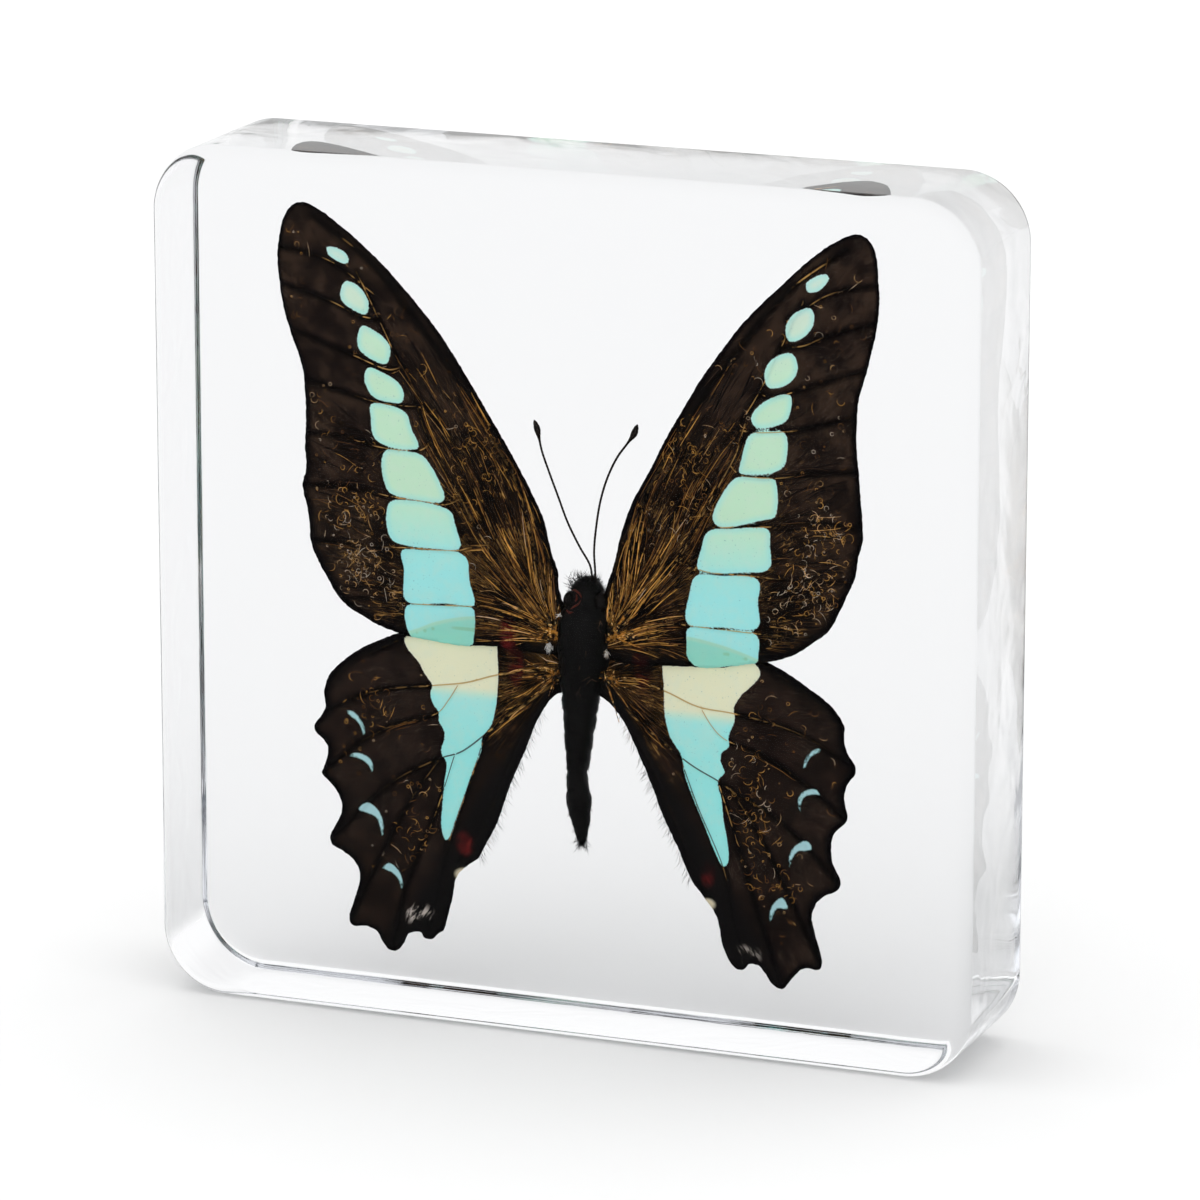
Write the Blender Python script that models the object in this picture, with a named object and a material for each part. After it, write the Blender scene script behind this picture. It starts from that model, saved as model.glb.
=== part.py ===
"""A clear resin block that holds a spread butterfly: a rounded square slab, standing on its edge.

Run with: blender --background --python part.py
Metres, +Z up. The origin is the middle of the flat edge that the block stands on, and the broad
front face looks along -Y. The block was cast round the insect in one piece, so it is one closed
solid with no hollow in it.
"""

import math

import bmesh
import bpy

WIDTH = 0.075
HEIGHT = 0.076
THICKNESS = 0.015
# The outline's four corners are cut round before the block is polished.
CORNER_RADIUS = 0.006
CORNER_SEGMENTS = 12
# The polished rounding between each broad face and the rim.
EDGE_RADIUS = 0.0012
EDGE_SEGMENTS = 4

RESIN_COLOR = (0.95, 0.96, 0.965, 1.0)
RESIN_ROUGHNESS = 0.02
RESIN_IOR = 1.5


def clear_scene():
    for obj in list(bpy.data.objects):
        bpy.data.objects.remove(obj, do_unlink=True)


def clear_resin():
    """Clear, water-white casting resin with a polished surface."""
    material = bpy.data.materials.new("clear_resin")
    material.use_nodes = True
    shader = material.node_tree.nodes["Principled BSDF"]
    shader.inputs["Base Color"].default_value = RESIN_COLOR
    shader.inputs["Roughness"].default_value = RESIN_ROUGHNESS
    shader.inputs["Metallic"].default_value = 0.0
    shader.inputs["IOR"].default_value = RESIN_IOR
    shader.inputs["Transmission Weight"].default_value = 1.0
    return material


def runs_through_thickness(edge):
    """True for the four edges of the box that join its front to its back."""
    along = edge.verts[1].co - edge.verts[0].co
    return math.isclose(abs(along.y), THICKNESS, rel_tol=1e-4)


def bounds_broad_face(edge):
    """True for an edge of the outline, where the front or the back meets the rim."""
    ends = [vert.co.y for vert in edge.verts]
    on_one_side = math.isclose(ends[0], ends[1], abs_tol=1e-7)
    return on_one_side and math.isclose(abs(ends[0]), THICKNESS / 2, rel_tol=1e-4)


def resin_slab():
    """A box with its four corners rounded first, and then the edges of both broad faces."""
    slab = bmesh.new()
    bmesh.ops.create_cube(slab, size=1.0)
    bmesh.ops.scale(slab, vec=(WIDTH, THICKNESS, HEIGHT), verts=slab.verts)
    bmesh.ops.translate(slab, vec=(0.0, 0.0, HEIGHT / 2), verts=slab.verts)
    bmesh.ops.bevel(
        slab,
        geom=[edge for edge in slab.edges if runs_through_thickness(edge)],
        affect="EDGES",
        offset_type="OFFSET",
        offset=CORNER_RADIUS,
        segments=CORNER_SEGMENTS,
        profile=0.5,
    )
    bmesh.ops.bevel(
        slab,
        geom=[edge for edge in slab.edges if bounds_broad_face(edge)],
        affect="EDGES",
        offset_type="OFFSET",
        offset=EDGE_RADIUS,
        segments=EDGE_SEGMENTS,
        profile=0.5,
    )
    bmesh.ops.recalc_face_normals(slab, faces=slab.faces)
    mesh = bpy.data.meshes.new("resin_block")
    slab.to_mesh(mesh)
    slab.free()
    mesh.shade_smooth()
    mesh.set_sharp_from_angle(angle=math.radians(30.0))
    return mesh


def main():
    clear_scene()
    block = bpy.data.objects.new("resin_block", resin_slab())
    block.data.materials.append(clear_resin())
    bpy.context.scene.collection.objects.link(block)


main()
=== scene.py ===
"""A swallowtail butterfly with its wings spread, cast into a clear resin block.

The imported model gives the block. This script gives it its polished, see-through surface, and makes
the insect inside it: four wings, the body, the antennae, the legs and the hairs.

Shapes are in millimetres until a mesh is made. In the plane of the wings a point is (x, z), seen from
the front, with z above the face that the block stands on. Depth y runs from the front to the back.
"""

import math
from types import SimpleNamespace

import bmesh
import bpy
import numpy as np
from mathutils import Matrix, Vector, noise
from mathutils.geometry import delaunay_2d_cdt


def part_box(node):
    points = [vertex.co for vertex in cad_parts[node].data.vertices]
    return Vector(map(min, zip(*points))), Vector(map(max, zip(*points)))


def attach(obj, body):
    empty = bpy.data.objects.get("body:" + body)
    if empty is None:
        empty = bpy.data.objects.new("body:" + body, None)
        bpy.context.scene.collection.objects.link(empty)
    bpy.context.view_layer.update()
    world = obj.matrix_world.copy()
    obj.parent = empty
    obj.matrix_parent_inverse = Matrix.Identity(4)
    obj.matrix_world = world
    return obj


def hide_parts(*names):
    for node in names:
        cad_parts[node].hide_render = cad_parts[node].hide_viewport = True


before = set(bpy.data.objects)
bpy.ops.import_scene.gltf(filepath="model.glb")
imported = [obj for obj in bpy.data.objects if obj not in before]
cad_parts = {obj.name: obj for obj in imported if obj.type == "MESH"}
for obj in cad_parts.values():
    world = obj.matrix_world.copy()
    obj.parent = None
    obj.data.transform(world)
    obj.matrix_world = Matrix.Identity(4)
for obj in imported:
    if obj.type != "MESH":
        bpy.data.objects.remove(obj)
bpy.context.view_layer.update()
block_low, block_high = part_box("resin_block")

MM = 0.001
SEED = 11

# ---------------------------------------------------------------- resin block
CORNER_RADIUS = 6.0
EDGE_RADIUS = 1.2
CORNER_SEGMENTS = 48
EDGE_SEGMENTS = 16
RESIN_IOR = 1.33
RESIN_TINT = (0.903, 0.906, 0.912, 1.0)
RESIN_DENSITY = 102.0
# Height of faint slow waves on the rim, in metres: a guess that breaks up its reflections.
RIM_SWELL = 0.00008
# How much of its full reflection a face gives square on: little, so no veil lies over the insect.
RESIN_SHEEN = (0.07, 0.07, 0.07)
# The resin wets everything sealed in it, so its gloss is far weaker than in air.
WETTED_SPECULAR = 0.05
HAIR_SPECULAR = 0.01

# ------------------------------------------------------------ lie of the wings
FOREWING_DEPTH = 3.3
HINDWING_DEPTH = 3.8
WING_THICKNESS = 0.09
VEIN_HEIGHT = 0.07
WING_MESH_STEP = 0.3
VEIN_MESH_STEP = 0.24
RIM_STEP = 0.22
RIM_RAGGEDNESS = 0.035

# ------------------------------------------------------------- left pair of wings
LEFT_FOREWING = [
    (-1.4, 34.9), (-1.9, 36.0), (-2.6, 37.6), (-2.8, 39.5), (-3.4, 41.2), (-4.1, 43.9),
    (-5.0, 45.8), (-6.1, 47.75),
    (-7.7, 50.4), (-9.55, 53.3), (-11.8, 56.7), (-14.3, 60.1), (-16.4, 62.4), (-18.9, 64.9),
    (-20.9, 66.6), (-23.2, 68.3), (-24.8, 69.3), (-26.4, 69.95), (-27.5, 69.7), (-28.3, 68.7),
    (-28.75, 67.2), (-29.0, 64.9), (-28.8, 62.6), (-28.4, 60.4), (-27.8, 58.5), (-27.2, 57.0),
    (-26.6, 55.1), (-26.4, 52.6), (-26.4, 50.1), (-26.5, 48.5), (-26.4, 46.5), (-26.75, 45.0),
    (-26.4, 43.3), (-26.1, 41.7), (-26.0, 40.0), (-25.3, 38.3), (-24.5, 37.0), (-23.6, 35.5),
    (-22.5, 34.45), (-21.1, 33.7), (-19.5, 33.0), (-18.0, 32.6), (-16.9, 32.35), (-14.1, 32.1),
    (-11.8, 31.95), (-9.1, 32.2), (-6.0, 32.1), (-3.6, 32.0), (-1.6, 32.6),
]
LEFT_FOREWING_WINDOWS = [
    [(-24.3, 66.2), (-23.2, 66.15), (-22.3, 65.5), (-22.4, 64.9), (-23.2, 65.0), (-24.2, 65.6)],
    [(-22.6, 63.3), (-21.6, 63.15), (-20.45, 61.85), (-20.6, 60.6), (-21.7, 60.8), (-23.0, 61.7),
     (-23.0, 62.65)],
    [(-21.0, 59.55), (-19.8, 59.2), (-18.6, 58.3), (-18.35, 57.4), (-18.75, 56.4), (-20.0, 56.6),
     (-21.35, 57.6), (-21.4, 58.75)],
    [(-20.45, 55.9), (-19.1, 55.6), (-17.6, 54.8), (-17.1, 53.9), (-17.3, 53.1), (-17.95, 53.0),
     (-20.0, 53.4), (-20.8, 54.9)],
    [(-20.2, 52.7), (-18.4, 52.75), (-16.9, 52.2), (-16.4, 50.9), (-15.7, 49.3), (-16.4, 49.0),
     (-18.6, 49.1), (-19.9, 49.8), (-20.2, 51.5)],
    [(-18.75, 48.8), (-17.3, 48.85), (-15.45, 48.6), (-14.5, 47.6), (-13.75, 46.3), (-13.3, 45.0),
     (-13.6, 44.6), (-15.45, 44.55), (-18.4, 45.0), (-19.0, 46.0), (-19.2, 47.9)],
    [(-18.4, 44.2), (-16.4, 44.5), (-14.1, 44.3), (-12.7, 43.8), (-12.3, 42.6), (-11.8, 40.9),
     (-12.05, 40.55), (-14.1, 40.4), (-17.3, 40.5), (-18.3, 40.9), (-18.8, 42.6)],
    [(-17.3, 40.0), (-15.2, 40.2), (-12.05, 40.3), (-11.2, 39.7), (-11.0, 37.9), (-10.5, 36.0),
     (-10.6, 35.65), (-13.2, 35.6), (-16.6, 35.35), (-17.15, 35.8), (-17.15, 38.5), (-17.4, 39.45)],
    [(-16.8, 35.1), (-14.1, 35.35), (-10.7, 35.4), (-10.5, 34.7), (-10.6, 32.9), (-10.8, 32.1),
     (-14.1, 32.0), (-16.4, 32.25), (-16.9, 33.1), (-17.1, 34.5)],
]
LEFT_HINDWING = [
    (-17.3, 32.6), (-18.4, 32.2), (-19.7, 31.6), (-21.75, 30.5), (-23.4, 29.2), (-24.5, 28.0),
    (-25.0, 26.5), (-24.9, 25.0), (-25.4, 24.1), (-26.0, 23.2), (-25.8, 22.6), (-25.1, 22.0),
    (-24.7, 21.3), (-24.8, 20.5), (-25.1, 19.6), (-25.3, 18.9), (-24.9, 18.5), (-24.0, 17.6),
    (-23.5, 16.7), (-23.45, 15.7), (-23.9, 14.6), (-24.6, 13.2), (-24.35, 12.5), (-23.5, 12.1),
    (-22.4, 11.4), (-21.8, 10.35), (-21.85, 9.2), (-22.4, 7.5), (-22.85, 5.9), (-22.5, 5.3),
    (-21.1, 5.35), (-20.2, 5.0), (-19.7, 4.2), (-19.0, 3.4), (-18.2, 3.5), (-17.6, 4.2),
    (-17.1, 5.15), (-16.0, 5.4), (-15.6, 4.9), (-14.9, 4.9), (-14.25, 5.5), (-13.8, 5.8),
    (-13.4, 7.1), (-12.9, 9.0), (-12.5, 10.9), (-11.5, 12.0), (-10.5, 12.75), (-9.7, 14.2),
    (-8.6, 16.3), (-7.8, 18.6), (-7.2, 20.25), (-6.1, 22.75), (-5.1, 25.25), (-4.25, 26.9),
    (-3.3, 28.2), (-2.0, 28.9), (-1.2, 30.2), (-1.5, 32.2), (-4.0, 33.6), (-7.0, 34.6), (-10.6, 34.7),
    (-14.1, 33.9), (-15.9, 33.1),
]
LEFT_HINDWING_WINDOW = [
    (-17.3, 32.0), (-17.0, 31.1), (-16.0, 30.0), (-15.4, 29.0), (-14.7, 28.0), (-14.9, 27.3),
    (-14.6, 26.3), (-14.1, 25.7), (-14.1, 24.9), (-13.6, 24.0), (-13.6, 23.2), (-13.9, 22.3),
    (-13.8, 21.8), (-13.4, 21.2), (-13.6, 19.4), (-13.8, 17.3), (-13.9, 15.25), (-13.5, 14.1),
    (-13.1, 14.5), (-12.5, 16.1), (-11.75, 18.2), (-11.0, 20.5), (-10.1, 22.65), (-10.0, 23.8),
    (-9.15, 25.0), (-8.7, 26.7), (-8.5, 28.8), (-8.5, 30.9), (-8.9, 33.0), (-12.0, 33.6),
    (-15.5, 32.9),
]
LEFT_LUNULES = [
    [(-23.0, 24.9), (-22.3, 25.0), (-21.3, 24.0), (-21.05, 23.2), (-21.3, 22.6), (-21.5, 23.4),
     (-21.9, 24.0), (-22.5, 24.4)],
    [(-22.8, 20.8), (-22.0, 21.25), (-20.7, 20.9), (-20.3, 20.1), (-20.8, 18.6), (-20.6, 19.6),
     (-20.9, 20.2), (-21.75, 20.65)],
    [(-21.95, 16.0), (-21.0, 16.8), (-19.9, 16.2), (-19.4, 14.8), (-19.6, 13.5), (-19.8, 14.4),
     (-20.1, 15.35), (-20.9, 15.7)],
    [(-19.6, 10.9), (-18.9, 11.5), (-18.0, 10.9), (-17.6, 9.9), (-17.7, 8.9), (-18.1, 10.0),
     (-18.6, 10.5)],
]

# ------------------------------------------------------------ right pair of wings
RIGHT_FOREWING = [
    (1.3, 36.6), (1.7, 38.5), (2.25, 40.0), (2.75, 42.0), (3.3, 44.1), (4.2, 46.4), (5.55, 48.9),
    (7.1, 52.0),
    (8.7, 54.8), (10.3, 57.5), (11.9, 59.8), (13.7, 62.2), (15.5, 64.2), (17.6, 66.25),
    (19.6, 68.2), (21.5, 69.7), (23.05, 70.6), (23.95, 70.9), (24.75, 70.7), (25.4, 70.0),
    (25.8, 68.9), (25.95, 67.3), (26.1, 65.2), (25.9, 63.0), (25.5, 61.1), (25.0, 58.9),
    (24.4, 56.8), (24.25, 54.3), (24.3, 52.0), (24.5, 50.2), (24.7, 48.0), (24.9, 45.7),
    (24.9, 44.5), (24.5, 43.0), (24.3, 41.4), (23.7, 40.0), (22.8, 38.0), (21.9, 36.4),
    (20.8, 35.5), (19.2, 34.3), (17.4, 33.5), (15.8, 33.1), (14.6, 32.85), (12.8, 32.45),
    (11.0, 32.2), (9.4, 32.15), (7.1, 32.0), (4.6, 31.8), (2.4, 32.0), (0.6, 32.6), (0.6, 34.9),
]
RIGHT_FOREWING_WINDOWS = [
    [(19.6, 66.4), (21.3, 67.3), (21.6, 67.0), (20.8, 65.9), (19.75, 65.65)],
    [(18.6, 63.75), (19.9, 64.3), (20.3, 63.9), (20.2, 62.7), (19.2, 61.6), (18.2, 61.3),
     (17.8, 61.9), (17.9, 62.8)],
    [(16.7, 59.7), (18.05, 60.3), (18.6, 60.1), (18.9, 58.9), (18.3, 57.8), (16.9, 57.15),
     (16.3, 57.2), (15.95, 58.1), (16.1, 58.9)],
    [(15.8, 55.8), (17.7, 56.7), (18.35, 56.6), (18.3, 55.2), (17.8, 54.3), (15.8, 53.6),
     (15.05, 53.8), (14.8, 54.5)],
    [(14.75, 53.0), (16.45, 53.4), (17.7, 53.45), (18.05, 52.95), (18.05, 51.4), (17.8, 50.5),
     (16.7, 49.8), (14.6, 49.5), (13.8, 49.6), (14.0, 50.9)],
    [(13.5, 49.1), (15.8, 49.3), (16.9, 49.3), (17.2, 48.6), (17.25, 47.0), (17.0, 46.0),
     (15.8, 45.6), (12.4, 44.7), (11.7, 44.9), (11.4, 45.45), (12.1, 47.3)],
    [(11.0, 44.2), (13.5, 44.7), (15.8, 45.0), (16.5, 44.8), (16.6, 43.4), (16.7, 41.8),
     (16.2, 41.2), (14.6, 40.95), (11.2, 40.6), (10.1, 40.85), (10.4, 42.7)],
    [(9.9, 40.2), (12.4, 40.45), (15.1, 40.6), (15.7, 40.1), (15.55, 38.4), (15.7, 36.4),
     (15.1, 35.95), (12.4, 35.9), (9.4, 35.8), (9.0, 36.4), (9.3, 38.4)],
    [(9.2, 35.5), (11.9, 35.7), (15.1, 35.7), (15.65, 35.2), (15.65, 33.9), (15.5, 33.1),
     (12.8, 32.5), (10.1, 32.2), (9.2, 33.0), (9.1, 34.3)],
]
RIGHT_HINDWING = [
    (16.4, 33.1), (18.2, 32.3), (19.8, 31.35), (21.5, 30.3), (22.5, 29.4), (23.3, 28.1),
    (23.3, 27.0), (23.6, 25.8), (24.3, 24.7), (24.3, 24.0), (23.8, 23.3), (23.4, 22.3),
    (23.4, 21.25), (23.7, 20.2), (23.4, 19.5), (22.5, 18.6), (22.2, 17.3), (22.4, 15.8),
    (23.1, 14.3), (22.85, 13.5), (21.7, 12.9), (20.9, 12.1), (20.5, 10.8), (20.8, 9.4),
    (21.3, 7.7), (21.45, 6.7), (21.2, 6.2), (19.8, 6.15), (19.1, 5.6), (18.5, 4.8),
    (17.85, 4.05), (17.0, 4.3), (16.3, 5.2), (15.7, 5.9), (14.7, 5.95), (14.4, 5.5),
    (13.6, 5.4), (12.85, 6.25), (12.3, 7.5), (12.0, 9.2), (11.6, 10.3), (10.35, 11.9),
    (9.4, 13.1), (8.2, 15.8), (6.9, 18.3), (5.9, 20.8), (4.6, 23.75), (3.2, 26.5),
    (2.0, 28.0), (0.8, 28.9), (0.3, 30.4), (0.8, 32.4), (3.0, 33.6), (6.0, 34.7), (9.1, 34.8),
    (11.9, 34.4), (13.6, 34.0), (15.25, 33.5),
]
RIGHT_HINDWING_WINDOW = [
    (15.7, 32.1), (15.1, 31.1), (14.0, 30.0), (13.3, 28.75), (13.4, 27.7), (12.85, 26.25),
    (12.85, 25.2), (12.3, 24.8), (12.1, 24.0), (12.5, 22.9), (12.0, 22.4), (11.9, 21.7),
    (12.2, 20.6), (12.4, 18.75), (12.75, 16.9), (12.85, 15.0), (12.4, 14.5), (11.5, 16.0),
    (10.7, 17.9), (9.6, 20.4), (8.8, 22.5), (8.5, 24.1), (7.5, 25.6), (7.0, 27.5), (6.9, 30.0),
    (7.0, 33.0), (10.0, 33.9), (15.0, 33.0),
]
RIGHT_LUNULES = [
    [(21.4, 25.8), (20.9, 26.0), (20.0, 25.3), (19.6, 24.4), (19.7, 23.75), (19.9, 24.2),
     (20.25, 25.0), (20.9, 25.5)],
    [(21.3, 21.8), (20.7, 22.4), (19.6, 22.0), (19.15, 21.25), (19.5, 19.7), (19.5, 20.8),
     (19.8, 21.5), (20.7, 21.8)],
    [(20.6, 17.0), (20.0, 17.7), (19.0, 17.2), (18.4, 16.25), (18.5, 14.5), (18.7, 15.8),
     (19.3, 16.6), (20.0, 16.7)],
    [(18.4, 11.35), (17.85, 12.4), (17.1, 11.9), (16.6, 10.8), (16.7, 9.8), (17.0, 10.6),
     (17.4, 11.25)],
]

# ------------------------------------------------------------------------- veins
# Each is (half width at its root, half width at its end, points from the root outwards).
LEFT_FOREWING_VEINS = [
    (0.20, 0.09, [(-2.7, 34.3), (-3.2, 36.5), (-3.6, 40.5), (-5.6, 45.2), (-9.0, 50.8),
                  (-14.0, 58.2), (-20.0, 65.0), (-25.6, 68.9)]),
    (0.15, 0.07, [(-3.0, 34.3), (-4.5, 38.0), (-5.2, 42.0), (-6.3, 46.0), (-8.0, 49.5), (-10.0, 52.8),
                  (-13.6, 57.6), (-17.6, 62.2)]),
    (0.09, 0.05, [(-3.0, 34.2), (-4.9, 36.7), (-8.0, 41.0), (-9.5, 44.0), (-11.0, 47.5), (-13.0, 50.5),
                  (-15.4, 53.4), (-17.3, 56.2), (-19.4, 60.2), (-21.5, 64.2)]),
    (0.15, 0.07, [(-3.0, 34.0), (-4.6, 35.6), (-7.0, 38.5), (-10.0, 42.0), (-12.0, 45.5), (-13.5, 48.0),
                  (-15.2, 51.0), (-16.0, 53.5)]),
    (0.07, 0.05, [(-20.0, 62.5), (-24.0, 65.0), (-28.8, 66.0)]),
    (0.08, 0.05, [(-19.4, 60.2), (-21.6, 60.5), (-23.2, 61.2), (-25.0, 61.8), (-28.8, 62.8)]),
    (0.08, 0.05, [(-17.3, 56.2), (-18.5, 55.9), (-21.5, 56.8), (-24.5, 57.8), (-27.9, 58.8)]),
    (0.08, 0.05, [(-15.6, 52.9), (-17.0, 52.8), (-20.5, 53.1), (-23.0, 53.7), (-26.7, 54.6)]),
    (0.08, 0.05, [(-14.6, 49.8), (-15.4, 49.1), (-17.0, 48.9), (-19.5, 49.0), (-22.0, 49.5),
                  (-26.5, 49.8)]),
    (0.08, 0.05, [(-11.8, 45.0), (-13.3, 44.4), (-15.0, 44.5), (-18.5, 44.7), (-22.0, 45.2),
                  (-26.8, 45.0)]),
    (0.08, 0.05, [(-9.2, 41.2), (-11.0, 40.8), (-12.0, 40.45), (-17.0, 40.25), (-20.0, 40.1),
                  (-26.1, 40.2)]),
    (0.12, 0.05, [(-3.0, 33.9), (-5.5, 34.9), (-9.0, 35.6), (-12.0, 35.5), (-17.0, 35.25), (-20.0, 35.2),
                  (-23.6, 35.3)]),
]
LEFT_HINDWING_VEINS = [
    (0.13, 0.07, [(-3.6, 30.6), (-8.5, 29.6), (-11.5, 28.6), (-14.7, 28.0), (-20.0, 27.0),
                  (-25.2, 24.6)]),
    (0.07, 0.05, [(-12.2, 28.4), (-13.2, 26.8), (-14.2, 25.6), (-18.5, 24.0), (-22.4, 21.6),
                  (-25.0, 19.2)]),
    (0.13, 0.07, [(-3.4, 29.2), (-7.5, 26.0), (-9.5, 24.3), (-12.0, 22.3), (-14.0, 21.5),
                  (-18.4, 19.0), (-21.6, 16.0), (-24.3, 13.2)]),
    (0.07, 0.05, [(-14.0, 21.5), (-16.8, 17.4), (-19.8, 11.8), (-22.6, 6.0)]),
    (0.07, 0.05, [(-12.6, 22.0), (-14.6, 16.0), (-17.0, 10.4), (-18.7, 4.0)]),
    (0.08, 0.05, [(-9.7, 24.2), (-11.0, 20.2), (-12.9, 15.0), (-13.9, 11.0), (-15.2, 5.6)]),
    (0.14, 0.08, [(-3.4, 29.0), (-6.2, 24.4), (-8.4, 19.4), (-10.2, 15.2), (-12.4, 12.0)]),
    (0.08, 0.05, [(-4.0, 32.0), (-8.0, 33.4), (-10.6, 33.5), (-14.1, 33.3), (-16.4, 32.5),
                  (-20.6, 30.3)]),
]
RIGHT_HINDWING_VEINS = [
    (0.13, 0.07, [(1.8, 30.3), (5.0, 30.2), (7.2, 29.6), (10.0, 28.6), (13.3, 28.3), (17.0, 27.7),
                  (20.0, 26.8), (23.7, 24.9)]),
    (0.07, 0.05, [(10.3, 28.5), (11.3, 27.0), (12.4, 26.0), (16.0, 24.8), (20.0, 22.6),
                  (23.4, 20.0)]),
    (0.13, 0.07, [(1.8, 29.0), (4.5, 26.8), (7.5, 24.6), (9.5, 23.3), (12.0, 22.1), (13.3, 21.3),
                  (16.8, 19.6), (20.0, 17.2), (22.9, 14.0)]),
    (0.07, 0.05, [(13.0, 21.6), (15.5, 18.0), (18.5, 12.5), (21.2, 7.0)]),
    (0.07, 0.05, [(11.9, 22.1), (13.6, 17.0), (15.5, 11.0), (17.7, 4.6)]),
    (0.08, 0.05, [(8.3, 24.2), (10.0, 19.8), (12.4, 14.4), (13.2, 11.0), (14.1, 6.4)]),
    (0.14, 0.08, [(1.8, 28.6), (5.0, 24.2), (7.4, 19.4), (9.5, 14.6), (11.8, 11.0)]),
    (0.08, 0.05, [(2.6, 32.0), (6.0, 33.5), (9.2, 33.65), (11.5, 33.7), (14.0, 33.4), (15.7, 33.0),
                  (19.6, 30.9)]),
]

LEFT_FORE_ROOT = (-2.9, 34.0)
RIGHT_FORE_ROOT = (2.0, 34.2)
LEFT_HIND_ROOT = (-2.8, 30.3)
RIGHT_HIND_ROOT = (1.7, 30.5)


def mirrored_to_right(points):
    """Carries the left forewing's points to the right one, which is set closer in and tipped up."""
    moved = []
    for x, z in points:
        out = abs(x) - 3.6
        moved.append((abs(x) - 0.9 - 0.041 * out - 0.018 * (z - 34.6), z + 0.03 * out))
    return moved


RIGHT_FOREWING_VEINS = [
    (root, end, mirrored_to_right(points)) for root, end, points in LEFT_FOREWING_VEINS
]


# --------------------------------------------------------------- plane geometry
def smooth_curve(points, step, closed=False):
    """Points at even steps along the centripetal Catmull-Rom curve through the given ones."""
    given = np.array(points, float)
    if closed:
        guide = np.vstack([given[-1:], given, given[:2]])
    else:
        guide = np.vstack([2 * given[:1] - given[1:2], given, 2 * given[-1:] - given[-2:-1]])
    runs = []
    for p0, p1, p2, p3 in zip(guide, guide[1:], guide[2:], guide[3:]):
        t1 = math.sqrt(np.linalg.norm(p1 - p0))
        t2 = t1 + math.sqrt(np.linalg.norm(p2 - p1))
        t3 = t2 + math.sqrt(np.linalg.norm(p3 - p2))
        t = np.linspace(t1, t2, 20, endpoint=False)[:, None]
        a1 = (t1 - t) / t1 * p0 + t / t1 * p1
        a2 = (t2 - t) / (t2 - t1) * p1 + (t - t1) / (t2 - t1) * p2
        a3 = (t3 - t) / (t3 - t2) * p2 + (t - t2) / (t3 - t2) * p3
        b1 = (t2 - t) / t2 * a1 + t / t2 * a2
        b2 = (t3 - t) / (t3 - t1) * a2 + (t - t1) / (t3 - t1) * a3
        runs.append((t2 - t) / (t2 - t1) * b1 + (t - t1) / (t2 - t1) * b2)
    fine = np.vstack(runs + [given[:1] if closed else given[-1:]])
    along = np.concatenate([[0.0], np.cumsum(np.linalg.norm(np.diff(fine, axis=0), axis=1))])
    count = max(4, round(along[-1] / step))
    at = np.linspace(0.0, along[-1], count + 1)
    if closed:
        at = at[:-1]
    return np.stack([np.interp(at, along, fine[:, k]) for k in range(fine.shape[1])], axis=1)


def nearest_on_line(points, line, closed=False):
    """(distance, share of the way along) of the nearest place on the line, for each point."""
    starts = line if closed else line[:-1]
    ends = np.roll(line, -1, axis=0) if closed else line[1:]
    spans = ends - starts
    offsets = points[:, None, :] - starts[None, :, :]
    share = (offsets * spans).sum(2) / np.maximum((spans**2).sum(1), 1e-12)
    share = np.clip(share, 0.0, 1.0)
    gaps = np.linalg.norm(offsets - share[:, :, None] * spans, axis=2)
    best = gaps.argmin(1)
    rows = np.arange(len(points))
    return gaps[rows, best], (best + share[rows, best]) / len(starts)


def is_inside(points, ring):
    """Whether each point is inside the closed ring, by counting the sides that a ray crosses."""
    x, z = points[:, 0:1], points[:, 1:2]
    x1, z1 = ring[:, 0], ring[:, 1]
    x2, z2 = np.roll(x1, -1), np.roll(z1, -1)
    spans = (z1 > z) != (z2 > z)
    rise = np.where(np.abs(z2 - z1) < 1e-12, 1e-12, z2 - z1)
    crossing = x1 + (z - z1) / rise * (x2 - x1)
    return (spans & (x < crossing)).sum(1) % 2 == 1


def signed_distance(points, ring):
    """Distance from each point to the ring: positive inside it, negative outside."""
    gap, _ = nearest_on_line(points, ring, closed=True)
    return np.where(is_inside(points, ring), gap, -gap)


def deepest_in(points, rings):
    """The largest signed distance to any of the rings."""
    if not rings:
        return np.full(len(points), -9.0)
    return np.max([signed_distance(points, ring) for ring in rings], axis=0)


def vein_profile(points, veins):
    """(height, gap) for each point: 1 on the crest of a vein to 0 at its side, and how far off it is."""
    profile = np.zeros(len(points))
    nearest = np.full(len(points), 99.0)
    for root, end, route in veins:
        gap, along = nearest_on_line(points, smooth_curve(route, 0.4))
        width = root + (end - root) * along
        profile = np.maximum(profile, np.clip(1.0 - gap / width, 0.0, 1.0))
        nearest = np.minimum(nearest, gap)
    return profile * profile * (3.0 - 2.0 * profile), nearest


def vein_rows(veins):
    """Points along the crest of each vein and along its two sides."""
    rows = []
    for root, end, route in veins:
        line = smooth_curve(route, VEIN_MESH_STEP)
        along = np.gradient(line, axis=0)
        along /= np.linalg.norm(along, axis=1)[:, None]
        sideways = np.stack([-along[:, 1], along[:, 0]], axis=1)
        width = np.linspace(root, end, len(line))[:, None]
        rows += [line, line + sideways * width, line - sideways * width]
    return np.vstack(rows)


def waves(points, size, shift):
    """Smooth noise between about -1 and 1 at each point, with hills about size apart."""
    return np.array([noise.noise(Vector((p[0] / size, p[1] / size, shift))) for p in points])


def hexagonal_points(low, high, step):
    """Points of a triangular lattice that fills the box."""
    rows = []
    for row, z in enumerate(np.arange(low[1], high[1], step * math.sqrt(0.75))):
        x = np.arange(low[0] + (row % 2) * step / 2, high[0], step)
        rows.append(np.stack([x, np.full_like(x, z)], axis=1))
    return np.vstack(rows)


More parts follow.
